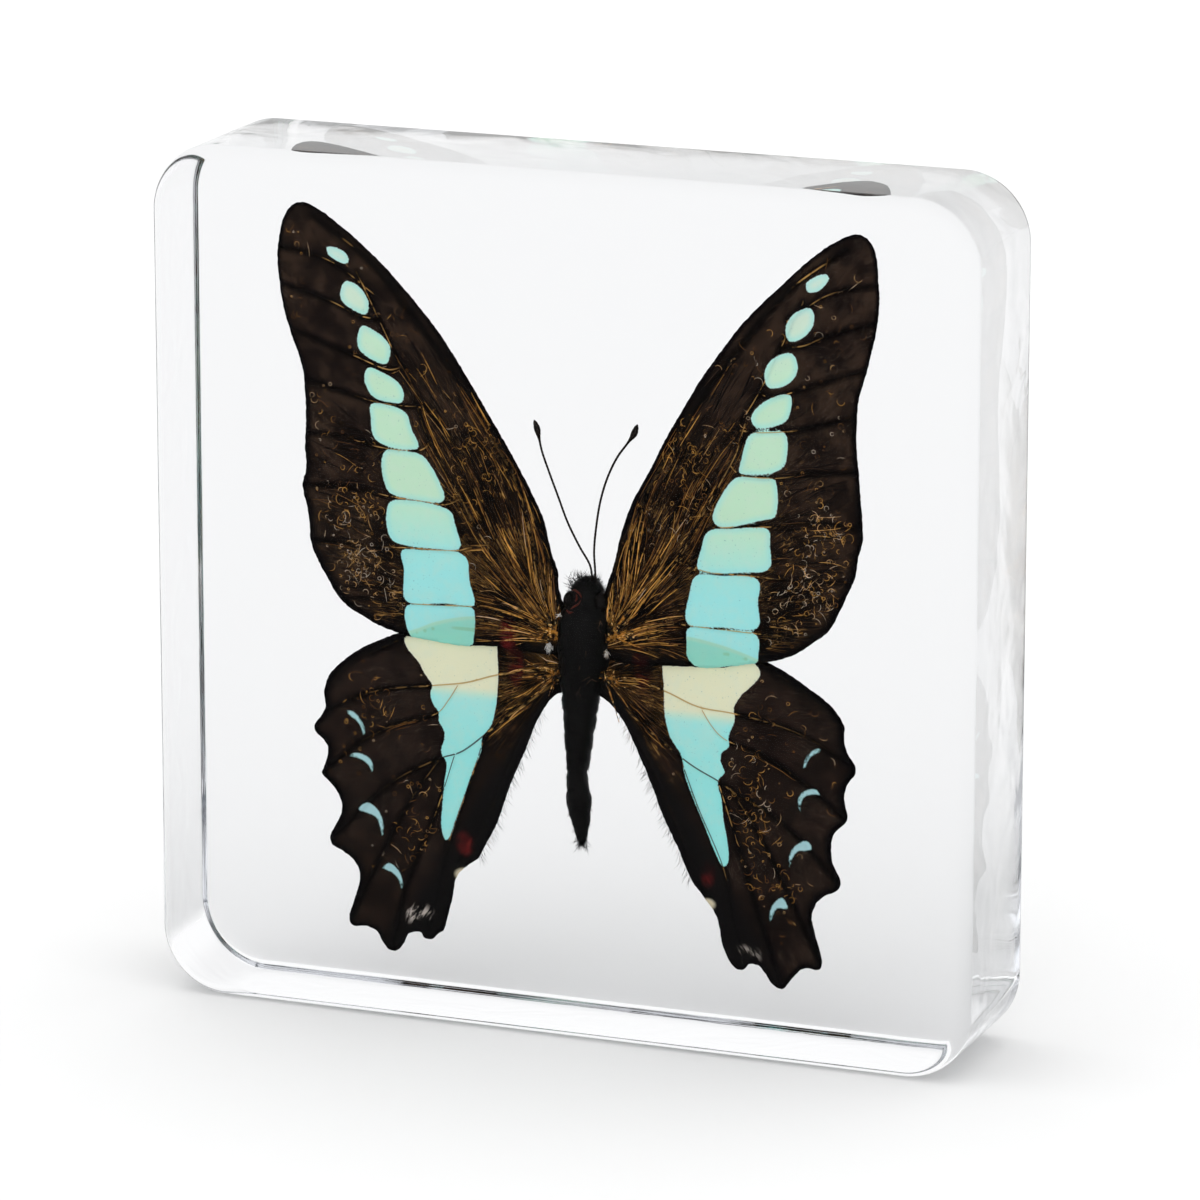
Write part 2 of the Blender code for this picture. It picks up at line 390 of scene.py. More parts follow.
# ------------------------------------------------------------------ mesh helpers
def new_object(name, points, faces, body="root"):
    """A mesh object from points in millimetres, which rides with the block."""
    mesh = bpy.data.meshes.new(name)
    mesh.from_pydata([tuple(p) for p in np.asarray(points) * MM], [], faces)
    mesh.update()
    mesh.shade_smooth()
    made = bpy.data.objects.new(name, mesh)
    bpy.context.scene.collection.objects.link(made)
    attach(made, body)
    return made


def set_attribute(mesh, name, values):
    """Stores one number for each vertex, for the materials to read."""
    attribute = mesh.attributes.new(name, "FLOAT", "POINT")
    attribute.data.foreach_set("value", np.asarray(values, np.float32))


# ------------------------------------------------------------------------- wings
def wing_lie(points, depth, root):
    """How deep the middle of a wing lies: nearly flat, bowed to the back at its tip."""
    reach = np.linalg.norm(points - np.array(root), axis=1)
    bow = 0.5 * (reach / 40.0) ** 2
    return depth + bow + 0.10 * waves(points, 7.0, 0.3) + 0.03 * waves(points, 1.9, 4.1)


def triangulate(rim, inner):
    """(points, triangles) of the flat wing inside the rim, with the inner points used."""
    count = len(rim)
    sides = [(i, (i + 1) % count) for i in range(count)]
    coords = [Vector(p) for p in np.vstack([rim, inner])]
    points, _, triangles, *_ = delaunay_2d_cdt(coords, sides, [], 1, 1e-7)
    return np.array([tuple(p) for p in points]), [tuple(t) for t in triangles]


def make_wing(name, outline, windows, veins, root, depth, marks):
    """A wing: two scaled faces a tenth of a millimetre apart, with ribs along its veins."""
    rng = np.random.default_rng(SEED + len(outline))
    rim = smooth_curve(outline, RIM_STEP, closed=True)
    rim += rng.uniform(-RIM_RAGGEDNESS, RIM_RAGGEDNESS, rim.shape)
    rings = [smooth_curve(window, WING_MESH_STEP, closed=True) for window in windows]
    lattice = hexagonal_points(rim.min(0), rim.max(0), WING_MESH_STEP)
    lattice = lattice[signed_distance(lattice, rim) > 0.45 * WING_MESH_STEP]
    for ring in rings:
        gap, _ = nearest_on_line(lattice, ring, closed=True)
        lattice = lattice[gap > 0.4 * WING_MESH_STEP]
    _, off_vein = vein_profile(lattice, veins)
    lattice = lattice[off_vein > 0.6 * WING_MESH_STEP]
    lines = np.vstack(rings + [vein_rows(veins)])
    lines = lines[signed_distance(lines, rim) > 0.3 * WING_MESH_STEP]
    flat, triangles = triangulate(rim, np.vstack([lattice, lines]))

    vein, vein_gap = vein_profile(flat, veins)
    inset, _ = nearest_on_line(flat, rim, closed=True)
    taper = np.clip(inset / 0.5, 0.25, 1.0)
    half = taper * (WING_THICKNESS / 2 + VEIN_HEIGHT * vein)
    middle = wing_lie(flat, depth, root)
    front = np.stack([flat[:, 0], middle - half, flat[:, 1]], axis=1)
    back = np.stack([flat[:, 0], middle + half, flat[:, 1]], axis=1)

    count = len(flat)
    # A triangle that runs anticlockwise in (x, z) faces -y, the front.
    faces = list(triangles)
    faces += [(c + count, b + count, a + count) for a, b, c in triangles]
    sides = dict.fromkeys(side for a, b, c in triangles for side in ((a, b), (b, c), (c, a)))
    faces += [(b, a, a + count, b + count) for a, b in sides if (b, a) not in sides]

    wing = new_object(name, np.vstack([front, back]), faces)
    mesh = wing.data
    reach = np.linalg.norm(flat - np.array(root), axis=1)
    angle = np.arctan2(flat[:, 1] - root[1], np.abs(flat[:, 0] - root[0]))
    values = {
        "window": deepest_in(flat, rings),
        "vein": vein,
        "vein_gap": vein_gap,
        "rim": inset,
        "reach": reach,
        "angle": angle,
    }
    for mark, measure in marks.items():
        values[mark] = measure(flat)
    for key, value in values.items():
        set_attribute(mesh, key, np.concatenate([value, value]))
    for index, polygon in enumerate(mesh.polygons):
        polygon.material_index = int(index >= len(triangles))
    return wing


# -------------------------------------------------------- fibres on the wings
FIBRE_POINTS = 8
# Below this angle from its root, in radians, a hindwing is folded over and near black.
INNER_STRIP = -0.95


def grain_of(points, lines, root):
    """Which way the scales run at each point: outwards from the root, and along a near vein."""
    rays = points - np.array(root)
    rays /= np.linalg.norm(rays, axis=1)[:, None] + 1e-9
    nearest = np.full(len(points), 99.0)
    along = rays.copy()
    for line in lines:
        gap, share = nearest_on_line(points, line)
        index = np.minimum((share * (len(line) - 1)).astype(int), len(line) - 2)
        way = line[index + 1] - line[index]
        way /= np.linalg.norm(way, axis=1)[:, None]
        closer = gap < nearest
        nearest = np.where(closer, gap, nearest)
        along = np.where(closer[:, None], way, along)
    pull = np.exp(-((nearest / 1.6) ** 2))[:, None]
    mixed = rays * (1.0 - pull) + along * pull
    return mixed / (np.linalg.norm(mixed, axis=1)[:, None] + 1e-9)


def turned(ways, angles):
    """The directions, each turned by its own angle."""
    cos, sin = np.cos(angles), np.sin(angles)
    return np.stack(
        [ways[:, 0] * cos - ways[:, 1] * sin, ways[:, 0] * sin + ways[:, 1] * cos], axis=1
    )


def grow_fibres(starts, lines, root, lengths, heading, curl):
    """Paths of FIBRE_POINTS points, which follow the grain unless they start askew or curl."""
    place = starts.copy()
    paths = [place.copy()]
    stride = (lengths / (FIBRE_POINTS - 1))[:, None]
    turn = heading.copy()
    for _ in range(FIBRE_POINTS - 1):
        place = place + turned(grain_of(place, lines, root), turn) * stride
        paths.append(place.copy())
        turn = turn + curl
    return np.stack(paths, axis=1)


def ridge_paths(veins, rng, count, farthest):
    """Paths that run beside the thick veins, now on one side and now on the other."""
    paths = []
    for _ in range(count):
        root_width, _, route = veins[rng.integers(len(veins))]
        line = smooth_curve(route, 0.5)
        start = rng.uniform(0.0, farthest)
        length = rng.uniform(1.5, 6.0)
        along = np.linspace(start, start + length, FIBRE_POINTS) / 0.5
        along = np.clip(along, 0, len(line) - 1)
        x = np.interp(along, np.arange(len(line)), line[:, 0])
        z = np.interp(along, np.arange(len(line)), line[:, 1])
        path = np.stack([x, z], axis=1)
        way = np.gradient(path, axis=0)
        way /= np.linalg.norm(way, axis=1)[:, None] + 1e-9
        off = rng.choice((-1.0, 1.0)) * (root_width + rng.uniform(0.02, 0.42) * (1 + 2 / (1 + start)))
        wobble = off + np.cumsum(rng.normal(0.0, 0.02, FIBRE_POINTS))
        paths.append(path + np.stack([-way[:, 1], way[:, 0]], axis=1) * wobble[:, None])
    return np.array(paths)


def fibre_strips(paths, widths, depth, root, lifts):
    """(points, faces) of flat slivers that lie on the wing along the paths."""
    count = len(paths)
    ways = np.gradient(paths, axis=1)
    ways /= np.linalg.norm(ways, axis=2)[:, :, None] + 1e-9
    sides = np.stack([-ways[:, :, 1], ways[:, :, 0]], axis=2)
    taper = np.sin(np.linspace(0.12, math.pi - 0.12, FIBRE_POINTS)) ** 0.5
    half = widths[:, None, None] / 2 * taper[None, :, None]
    bulge = 0.02 * np.sin(np.linspace(0.0, math.pi, FIBRE_POINTS))
    lie = wing_lie(paths.reshape(-1, 2), depth, root).reshape(count, FIBRE_POINTS)
    y = lie - lifts[:, None] - bulge[None, :]
    edges = [paths + sides * half, paths - sides * half]
    corners = [np.stack([edge[:, :, 0], y, edge[:, :, 1]], axis=2) for edge in edges]
    points = np.stack(corners, axis=2).reshape(-1, 3)
    faces = []
    for strip in range(count):
        for k in range(FIBRE_POINTS - 1):
            a = (strip * FIBRE_POINTS + k) * 2
            faces.append((a, a + 1, a + 3, a + 2))
    return points, faces


# Each is (number, nearest and farthest reach, length, width, tint: low and high, how askew, curl,
# whether they grow in patches).
FOREWING_FIBRES = (
    (210, (0.5, 9.0), (1.2, 4.5), (0.03, 0.08), (0.34, 0.90), 0.04, 0.012, False),
    (520, (4.0, 26.0), (1.0, 4.0), (0.016, 0.036), (0.22, 0.90), 0.09, 0.04, True),
    (1100, (12.0, 44.0), (0.5, 1.8), (0.018, 0.034), (0.08, 0.26), 0.6, 0.15, True),
    (1300, (8.0, 44.0), (0.4, 1.3), (0.016, 0.028), (0.10, 1.0), 3.0, 0.55, True),
    (900, (0.5, 26.0), (1.0, 4.0), (0.03, 0.10), (0.0, 0.05), 0.06, 0.02, False),
)
HINDWING_FIBRES = (
    (90, (0.5, 6.0), (0.8, 2.4), (0.025, 0.07), (0.34, 0.90), 0.08, 0.03, False),
    (150, (4.0, 13.0), (0.8, 2.4), (0.016, 0.034), (0.14, 0.40), 0.2, 0.06, True),
    (800, (8.0, 34.0), (0.6, 2.4), (0.018, 0.030), (0.06, 0.24), 0.3, 0.08, True),
    (520, (8.0, 30.0), (0.4, 1.4), (0.016, 0.028), (0.10, 1.0), 3.0, 0.55, True),
    (160, (0.5, 9.0), (1.0, 3.0), (0.03, 0.08), (0.0, 0.05), 0.08, 0.03, False),
)
# Where scales are rubbed up into curls, whose pale tints are partly painted glints: (x, z, half width,
# half height, number, tint range).
LEFT_FORE_SCUFFS_AND_GLINTS = (
    (-21.5, 38.2, 2.6, 2.2, 110, (0.75, 1.0)), (-22.0, 43.2, 2.4, 1.8, 50, (0.6, 1.0)),
    (-9.8, 51.0, 2.0, 4.2, 80, (0.45, 0.80)), (-14.0, 41.8, 1.5, 2.5, 30, (0.6, 1.0)),
)
RIGHT_FORE_SCUFFS_AND_GLINTS = (
    (20.0, 39.5, 2.6, 2.6, 110, (0.75, 1.0)), (21.5, 44.5, 1.8, 2.0, 70, (0.6, 1.0)),
    (8.8, 50.0, 2.0, 4.2, 70, (0.45, 0.80)),
)
LEFT_HIND_SCUFFS_AND_GLINTS = (
    (-16.0, 14.5, 1.6, 5.0, 45, (0.4, 0.9)), (-20.5, 25.5, 1.8, 2.4, 30, (0.4, 0.8)),
)
RIGHT_HIND_SCUFFS_AND_GLINTS = (
    (15.2, 19.0, 1.7, 5.2, 100, (0.40, 0.95)), (17.5, 12.0, 1.6, 3.0, 40, (0.4, 0.9)),
)


def wing_fibres(outline, windows, veins, root, depth, kinds, ridges, scuffs_and_painted_glints, rng):
    """(points, faces, tints) of the hair-like scales and the gilt ridges on one wing's front."""
    rim = smooth_curve(outline, 0.5, closed=True)
    rings = [smooth_curve(window, 0.5, closed=True) for window in windows]
    lines = [smooth_curve(route, 0.8) for _, _, route in veins]
    groups = []
    for number, reach, length, width, tint, askew, curl, patchy in kinds:
        starts = rng.uniform(rim.min(0), rim.max(0), (number * 4, 2))
        far = np.linalg.norm(starts - np.array(root), axis=1)
        keep = (far > reach[0]) & (far < reach[1]) & is_inside(starts, rim)
        fade = (reach[1] - far) / (reach[1] - reach[0])
        keep &= rng.random(len(starts)) < 0.25 + 0.75 * fade
        if patchy:
            keep &= waves(starts, 3.2, 7.7 + number * 0.001) > rng.uniform(-0.25, 0.2, len(starts))
            starts = starts[keep]
        else:
            extra = rng.uniform(0.0, 1.0, (number * 2, 2))
            angle = extra[:, 0] * 2 * math.pi
            spread = reach[0] + (reach[1] - reach[0]) * extra[:, 1]
            near = np.array(root) + spread[:, None] * np.stack([np.cos(angle), np.sin(angle)], axis=1)
            starts = np.vstack([starts[keep], near[is_inside(near, rim)]])
        starts = starts[:number]
        count = len(starts)
        heading = rng.uniform(-askew, askew, count)
        paths = grow_fibres(
            starts, lines, root, rng.uniform(*length, count), heading,
            rng.normal(0.0, curl, count) + curl * rng.choice((-1.0, 1.0), count),
        )
        tints = tint[0] + (tint[1] - tint[0]) * rng.random(count) ** (3.5 if patchy else 2.0)
        groups.append((paths, rng.uniform(*width, count), tints, rng.uniform(0.055, 0.10, count)))
    for x, z, across, tall, number, tint in scuffs_and_painted_glints:
        starts = np.array((x, z)) + rng.normal(0.0, 0.7, (number, 2)) * np.array((across, tall))
        paths = grow_fibres(
            starts, lines, root, rng.uniform(0.35, 1.3, number), rng.uniform(-3.0, 3.0, number),
            rng.normal(0.0, 0.6, number),
        )
        groups.append((paths, rng.uniform(0.018, 0.034, number), rng.uniform(*tint, number),
                       rng.uniform(0.08, 0.11, number)))
    paths = ridge_paths(veins[:ridges[0]], rng, ridges[1], ridges[2])
    count = len(paths)
    groups.append((paths, rng.uniform(0.02, 0.055, count), rng.uniform(0.30, 0.78, count),
                   rng.uniform(0.09, 0.13, count)))
    paths, widths, tints, lifts = [np.concatenate(column) for column in zip(*groups)]
    flat = paths.reshape(-1, 2)
    fits = (signed_distance(flat, rim) > 0.3) & (deepest_in(flat, rings) < -0.08)
    if kinds is HINDWING_FIBRES:
        angle = np.arctan2(flat[:, 1] - root[1], np.abs(flat[:, 0] - root[0]))
        fits &= angle > INNER_STRIP
    fits = fits.reshape(len(paths), FIBRE_POINTS).all(axis=1)
    points, faces = fibre_strips(paths[fits], widths[fits], depth, root, lifts[fits])
    return points, faces, np.repeat(tints[fits], FIBRE_POINTS * 2)


def make_fibres(name, wings, rng):
    """The fibres of one side's two wings."""
    parts, tints = [], []
    for wing in wings:
        points, faces, tint = wing_fibres(*wing, rng)
        parts.append((points, faces))
        tints.append(tint)
    made = new_object(name, *joined(parts))
    set_attribute(made.data, "tint", np.concatenate(tints))
    made.data.materials.append(hair_finish("wing_fibres", FIBRE_SHADES))
    return made


# -------------------------------------------------------------- material helpers
class Shader:
    """A material's node tree, with short names for the nodes that the finishes use."""

    def __init__(self, name):
        self.material = bpy.data.materials.new(name)
        self.material.use_nodes = True
        self.tree = self.material.node_tree
        self.tree.nodes.clear()
        self.out = self.tree.nodes.new("ShaderNodeOutputMaterial")

    def node(self, kind, inputs=None, **settings):
        made = self.tree.nodes.new(kind)
        for key, value in settings.items():
            setattr(made, key, value)
        for key, value in (inputs or {}).items():
            self.put(made.inputs[key], value)
        return made

    def put(self, socket, value):
        if isinstance(value, bpy.types.NodeSocket):
            self.tree.links.new(value, socket)
        elif isinstance(value, tuple) and len(value) == 3 and socket.type == "RGBA":
            socket.default_value = (*value, 1.0)
        else:
            socket.default_value = value

    def value(self, name):
        return self.node("ShaderNodeAttribute", attribute_name=name).outputs["Fac"]

    def math(self, operation, a, b=0.0, clamp=False):
        made = self.node("ShaderNodeMath", {0: a, 1: b}, operation=operation)
        made.use_clamp = clamp
        return made.outputs[0]

    def step(self, value, low, high, to_low=0.0, to_high=1.0):
        """Runs smoothly from to_low to to_high as the value goes from low to high."""
        made = self.node(
            "ShaderNodeMapRange",
            {"Value": value, "From Min": low, "From Max": high, "To Min": to_low, "To Max": to_high},
            interpolation_type="SMOOTHSTEP",
        )
        return made.outputs["Result"]

    def mix(self, factor, a, b, blend="MIX"):
        made = self.node("ShaderNodeMix", data_type="RGBA", blend_type=blend)
        self.put(made.inputs[0], factor)
        self.put(made.inputs[6], a)
        self.put(made.inputs[7], b)
        return made.outputs[2]

    def place(self, scale=1000.0, stretch=(1.0, 1.0, 1.0)):
        """The point's own place, in millimetres unless scaled."""
        where = self.node("ShaderNodeTexCoord").outputs["Object"]
        size = tuple(scale * s for s in stretch)
        return self.node("ShaderNodeMapping", {"Vector": where, "Scale": size}).outputs[0]

    def noise(self, vector, scale, detail=3.0, roughness=0.6, distortion=0.0):
        made = self.node(
            "ShaderNodeTexNoise",
            {"Vector": vector, "Scale": scale, "Detail": detail, "Roughness": roughness,
             "Distortion": distortion},
        )
        return made.outputs["Fac"]

    def combine(self, x, y, z=0.0):
        return self.node("ShaderNodeCombineXYZ", {0: x, 1: y, 2: z}).outputs[0]

    def line(self, value, width):
        """1 where the value is within width of one half: a thin line along the noise's contour."""
        off = self.math("ABSOLUTE", self.math("SUBTRACT", value, 0.5))
        return self.step(off, width, 0.0)

    def finish(self, surface):
        self.tree.links.new(surface, self.out.inputs["Surface"])
        return self.material


def clear_resin():
    """Water-clear casting resin: plain transmission, with a little absorption in its depth."""
    shader = Shader("clear_resin_polished")
    facing = shader.node("ShaderNodeTexCoord").outputs["Normal"]
    to_front = shader.math("ABSOLUTE", shader.node("ShaderNodeSeparateXYZ", {0: facing}).outputs[1])
    on_rim = shader.step(to_front, 0.75, 0.25)
    swell = shader.noise(shader.place(), 0.13, 2.0, 0.45, 0.6)
    bump = shader.node(
        "ShaderNodeBump",
        {"Height": shader.math("MULTIPLY", swell, on_rim), "Strength": 1.0, "Distance": RIM_SWELL},
    )
    surface = shader.node(
        "ShaderNodeBsdfPrincipled",
        {"Base Color": (1.0, 1.0, 1.0), "Roughness": 0.0, "IOR": RESIN_IOR,
         "Specular Tint": RESIN_SHEEN, "Transmission Weight": 1.0, "Normal": bump.outputs[0]},
    )
    depth = shader.node(
        "ShaderNodeVolumeAbsorption", {"Color": RESIN_TINT, "Density": RESIN_DENSITY}
    )
    shader.tree.links.new(depth.outputs[0], shader.out.inputs["Volume"])
    return shader.finish(surface.outputs[0])


def wing_fields(s, hind):
    """What every part of a wing's finish reads: its own measures, and noises that run with the scales."""
    place = s.place()
    reach = s.value("reach")
    window = s.value("window")
    vein = s.value("vein")
    rim = s.value("rim")
    turn = s.math("MULTIPLY", s.value("angle"), 34.0)
    fan = s.combine(s.math("MULTIPLY", reach, 0.25), turn)
    fan_fine = s.combine(s.math("MULTIPLY", reach, 0.55), s.math("MULTIPLY", turn, 1.7), 4.0)

    cloud = s.noise(place, 0.35, 4.0)
    grain = s.noise(place, 9.0, 2.0, 0.7)
    fibre = s.noise(fan, 1.4, 5.0, 0.7, 0.6)
    patch = s.noise(place, 0.30, 3.0, 0.65)
    patch_low = s.noise(place, 0.17, 2.0, 0.5)
    near_root = s.step(reach, 33.0 if not hind else 15.0, 6.0)
    return SimpleNamespace(
        place=place, reach=reach, window=window, vein=vein, rim=rim, fan=fan, fan_fine=fan_fine,
        cloud=cloud, grain=grain, fibre=fibre, patch=patch, patch_low=patch_low, near_root=near_root,
    )


def scale_ground(s, m, upper):
    """Brown-black scales, cloudy and streaked."""
    dark = (0.0022, 0.0015, 0.0012) if upper else (0.03, 0.018, 0.012)
    warm = (0.020, 0.0105, 0.006) if upper else (0.16, 0.10, 0.06)
    ground = s.mix(s.step(m.cloud, 0.40, 0.72), dark, warm)
    ground = s.mix(s.step(m.grain, 0.55, 0.78, 0.0, 0.22), ground, (0.05, 0.030, 0.020))
    ground = s.mix(s.step(m.fibre, 0.50, 0.36, 0.0, 0.85), ground, dark)
    return ground


def gold_threads_and_painted_glints(s, m, ground):
    """(colour, amber share) with the gold glow and thin pale and gold lines laid over the scales: partly
    golden scale colour, partly painted glints of the scales.
    """
    gold = (0.80, 0.42, 0.11)
    pale = (0.50, 0.40, 0.30)
    thread = s.mix(m.near_root, pale, gold)
    amber = s.math("MULTIPLY", m.near_root, s.step(m.fibre, 0.54, 0.70))
    amber_tone = s.mix(s.step(m.reach, 13.0, 3.0), (0.10, 0.040, 0.010), (0.38, 0.17, 0.04))
    ground = s.mix(s.math("MULTIPLY", amber, 0.55), ground, amber_tone)
    # Thin gold and pale lines along noise contours: partly golden scales, partly painted glints.
    long_thread_glint = s.line(s.noise(m.fan, 1.0, 1.0, 0.5, 0.35), 0.011)
    long_thread_glint = s.math("MULTIPLY", long_thread_glint, s.step(m.patch, 0.46, 0.56))
    ground = s.mix(s.math("MULTIPLY", long_thread_glint, s.math("MULTIPLY", m.near_root, 0.7)), ground, gold)
    short_thread_glint = s.line(s.noise(m.fan_fine, 1.2, 1.0, 0.6, 1.2), 0.012)
    short_thread_glint = s.math("MULTIPLY", short_thread_glint, s.step(m.patch_low, 0.50, 0.60))
    ground = s.mix(s.math("MULTIPLY", short_thread_glint, 0.45), ground, thread)
    # Curled pale lines: partly pale scales, partly painted glints.
    curl = s.line(s.noise(m.place, 1.1, 1.0, 0.55, 2.4), 0.012)
    curl = s.math("MULTIPLY", curl, s.step(m.patch, 0.54, 0.62))
    ground = s.mix(s.math("MULTIPLY", curl, 0.4), ground, thread)
    return ground, amber


def outer_shades(s, m, ground, upper, hind):
    """The dull outer half, the veins with their dark creases, and the black border."""
    outer = s.step(m.reach, 13.0, 24.0) if not hind else s.step(m.reach, 6.0, 12.0)
    brown = (0.038, 0.023, 0.016) if not hind else (0.020, 0.012, 0.0095)
    dull = s.mix(s.step(m.cloud, 0.36, 0.62), (0.010, 0.006, 0.005), brown)
    dull = s.mix(s.step(m.fibre, 0.50, 0.36, 0.0, 0.6), dull, (0.008, 0.005, 0.004))
    if upper:
        ground = s.mix(s.math("MULTIPLY", outer, 0.72), ground, dull)
    shade = s.math("MULTIPLY", s.step(s.value("vein_gap"), 0.62, 0.1), outer)
    ground = s.mix(s.math("MULTIPLY", shade, 0.9), ground, (0.002, 0.0015, 0.0015))
    beside_window = s.step(m.window, -1.4, -0.1)
    gilt = s.math("MAXIMUM", s.step(m.reach, 22.0, 8.0, 0.0, 0.5), beside_window)
    gilt = s.math("MULTIPLY", gilt, s.step(s.noise(m.place, 0.9, 3.0), 0.44, 0.56))
    rib = s.mix(gilt, (0.003, 0.0025, 0.002), (0.52, 0.29, 0.085))
    ground = s.mix(s.step(m.vein, 0.1, 0.6), ground, rib)
    border = s.math("DIVIDE", m.rim, s.step(m.reach, 40.0, 6.0, 0.5, 1.5))
    ground = s.mix(s.step(border, 1.0, 0.25, 0.0, 0.96), ground, (0.002, 0.0018, 0.002))
    if hind:
        inner = s.step(s.value("angle"), INNER_STRIP, INNER_STRIP - 0.1, 0.0, 0.93)
        ground = s.mix(inner, ground, (0.0045, 0.004, 0.0042))
    return ground


def window_tint(s, m, hind):
    """The clear cells' blue-green, which goes to cream at a hindwing's top."""
    height = s.node("ShaderNodeSeparateXYZ", {0: m.place}).outputs[2]
    if hind:
        tint = s.mix(s.step(m.window, 0.7, 0.0, 0.0, 0.5), (0.56, 1.0, 0.96), (0.42, 0.99, 0.98))
        tint = s.mix(s.step(height, 28.0, 22.0, 0.0, 0.5), tint, (0.42, 1.0, 0.97))
        tint = s.mix(s.step(height, 26.9, 28.4), tint, (1.0, 1.0, 0.78))
    else:
        tint = s.mix(s.step(height, 38.0, 46.0), (0.53, 1.0, 0.98), (0.76, 1.0, 0.80))
        tint = s.mix(s.step(height, 56.0, 66.0), tint, (0.86, 0.98, 0.86))
        tint = s.mix(s.step(m.window, 0.7, 0.0, 0.0, 0.5), tint, (0.46, 0.98, 0.99))
    tint = s.mix(s.step(s.noise(m.place, 0.9, 3.0), 0.4, 0.7, 0.0, 0.2), tint, (0.86, 0.97, 0.86))
    specks = s.step(s.noise(m.place, 6.0, 1.0), 0.71, 0.77, 0.0, 0.45)
    tint = s.mix(specks, tint, (0.10, 0.35, 0.40))
    if hind:
        over_window = s.mix(s.step(height, 25.2, 23.6), (0.62, 0.42, 0.13), (0.02, 0.016, 0.010))
    else:
        over_window = s.mix(s.step(height, 55.0, 57.0), (0.60, 0.46, 0.17), tint)
    tint = s.mix(s.step(m.vein, 0.2, 0.6, 0.0, 0.88), tint, over_window)
    return tint


def cells_and_marks(s, m, ground, tint, hind):
    """(ground, tint, how clear): where the wing is clear, with the small marks of each kind of wing. In a
    forewing's windows the hindwing seen through them is painted into the tint: greener over it, pale along
    its edge, and its veins.
    """
    ragged = s.math("MULTIPLY", s.math("SUBTRACT", s.noise(m.place, 7.0, 2.0), 0.5), 0.22)
    edge = s.math("ADD", m.window, ragged)
    clear = s.step(edge, -0.03, 0.03)
    if hind:
        lunule = s.math("ADD", s.value("lunule"), s.math("MULTIPLY", s.noise(m.place, 7.0, 2.0), 0.2))
        is_lunule = s.step(lunule, 0.10, 0.26)
        tint = s.mix(is_lunule, tint, (0.60, 0.90, 0.93))
        clear = s.math("MAXIMUM", clear, s.math("MULTIPLY", is_lunule, 0.9))
        silver = s.math("MULTIPLY", s.step(s.value("silver"), -0.5, 0.5), s.step(m.fibre, 0.50, 0.58))
        ground = s.mix(silver, ground, (0.55, 0.48, 0.42))
        cream = s.step(s.value("cream"), -0.2, 0.15)
        ground = s.mix(cream, ground, (0.75, 0.66, 0.46))
    else:
        # Painted see-through: the hindwing seen through a forewing window is painted into the window's
        # tint, with a pale line along its edge and its veins.
        painted_hindwing_behind = s.value("painted_hindwing_behind")
        tint = s.mix(s.step(painted_hindwing_behind, -0.05, 0.10, 0.0, 0.6), tint, (0.38, 0.90, 0.70))
        painted_hindwing_edge = s.math("MULTIPLY", s.step(painted_hindwing_behind, -0.10, 0.05), s.step(painted_hindwing_behind, 0.45, 0.15))
        tint = s.mix(s.math("MULTIPLY", painted_hindwing_edge, 0.5), tint, (0.68, 0.92, 0.72))
        painted_hindwing_veins = s.step(s.value("painted_hindwing_veins"), 0.1, 0.7, 0.0, 0.5)
        tint = s.mix(painted_hindwing_veins, tint, (0.36, 0.70, 0.42))
    return ground, tint, clear


def wing_finish(name, upper, hind):
    """Brown-black scales with gold fibres at the root, thin lines over them that are partly painted
    glints, and clear blue-green windows, into which a forewing's see-through of its hindwing is painted.
    """
    s = Shader(name)
    m = wing_fields(s, hind)
    ground = scale_ground(s, m, upper)
    ground, amber = gold_threads_and_painted_glints(s, m, ground)
    ground = outer_shades(s, m, ground, upper, hind)
    tint = window_tint(s, m, hind)
    ground, tint, clear = cells_and_marks(s, m, ground, tint, hind)
    red = s.math("MULTIPLY", s.step(s.value("red"), -0.35, 0.35), s.step(m.cloud, 0.40, 0.56, 0.1, 0.9))
    red = s.math("MULTIPLY", red, s.step(m.fibre, 0.44, 0.56, 0.35, 1.0))
    ground = s.mix(red, ground, (0.13, 0.013, 0.012))
    color = s.mix(clear, ground, tint)
    height_map = s.math("ADD", s.math("MULTIPLY", m.grain, 0.5), s.math("MULTIPLY", m.fibre, 0.6))
    bump = s.node("ShaderNodeBump", {"Height": height_map, "Strength": 0.35, "Distance": 0.00005})
    scales = s.node(
        "ShaderNodeBsdfPrincipled",
        {"Base Color": color, "Roughness": s.step(m.grain, 0.3, 0.8, 0.42, 0.7),
         "Specular IOR Level": HAIR_SPECULAR, "Normal": bump.outputs[0]},
    )
    glow = s.node("ShaderNodeBsdfTranslucent", {"Color": color, "Normal": bump.outputs[0]})
    share = s.math("ADD", s.math("MULTIPLY", clear, 0.32), s.math("MULTIPLY", amber, 0.2))
    both = s.node(
        "ShaderNodeMixShader", {0: share, 1: scales.outputs[0], 2: glow.outputs[0]}
    )
    return s.finish(both.outputs[0])


def chitin(name, color, shine):
    """The insect's shell: near black, with a fine broken gloss."""
    s = Shader(name)
    place = s.place()
    mottle = s.noise(place, 2.2, 4.0)
    tone = s.mix(s.step(mottle, 0.4, 0.75), color, tuple(2.5 * c + 0.001 for c in color))
    bump = s.node(
        "ShaderNodeBump",
        {"Height": s.noise(place, 12.0, 3.0), "Strength": 0.5, "Distance": 0.00005},
    )
    surface = s.node(
        "ShaderNodeBsdfPrincipled",
        {"Base Color": tone, "Roughness": s.step(mottle, 0.3, 0.8, shine, shine + 0.25),
         "Specular IOR Level": WETTED_SPECULAR, "Normal": bump.outputs[0]},
    )
    return s.finish(surface.outputs[0])


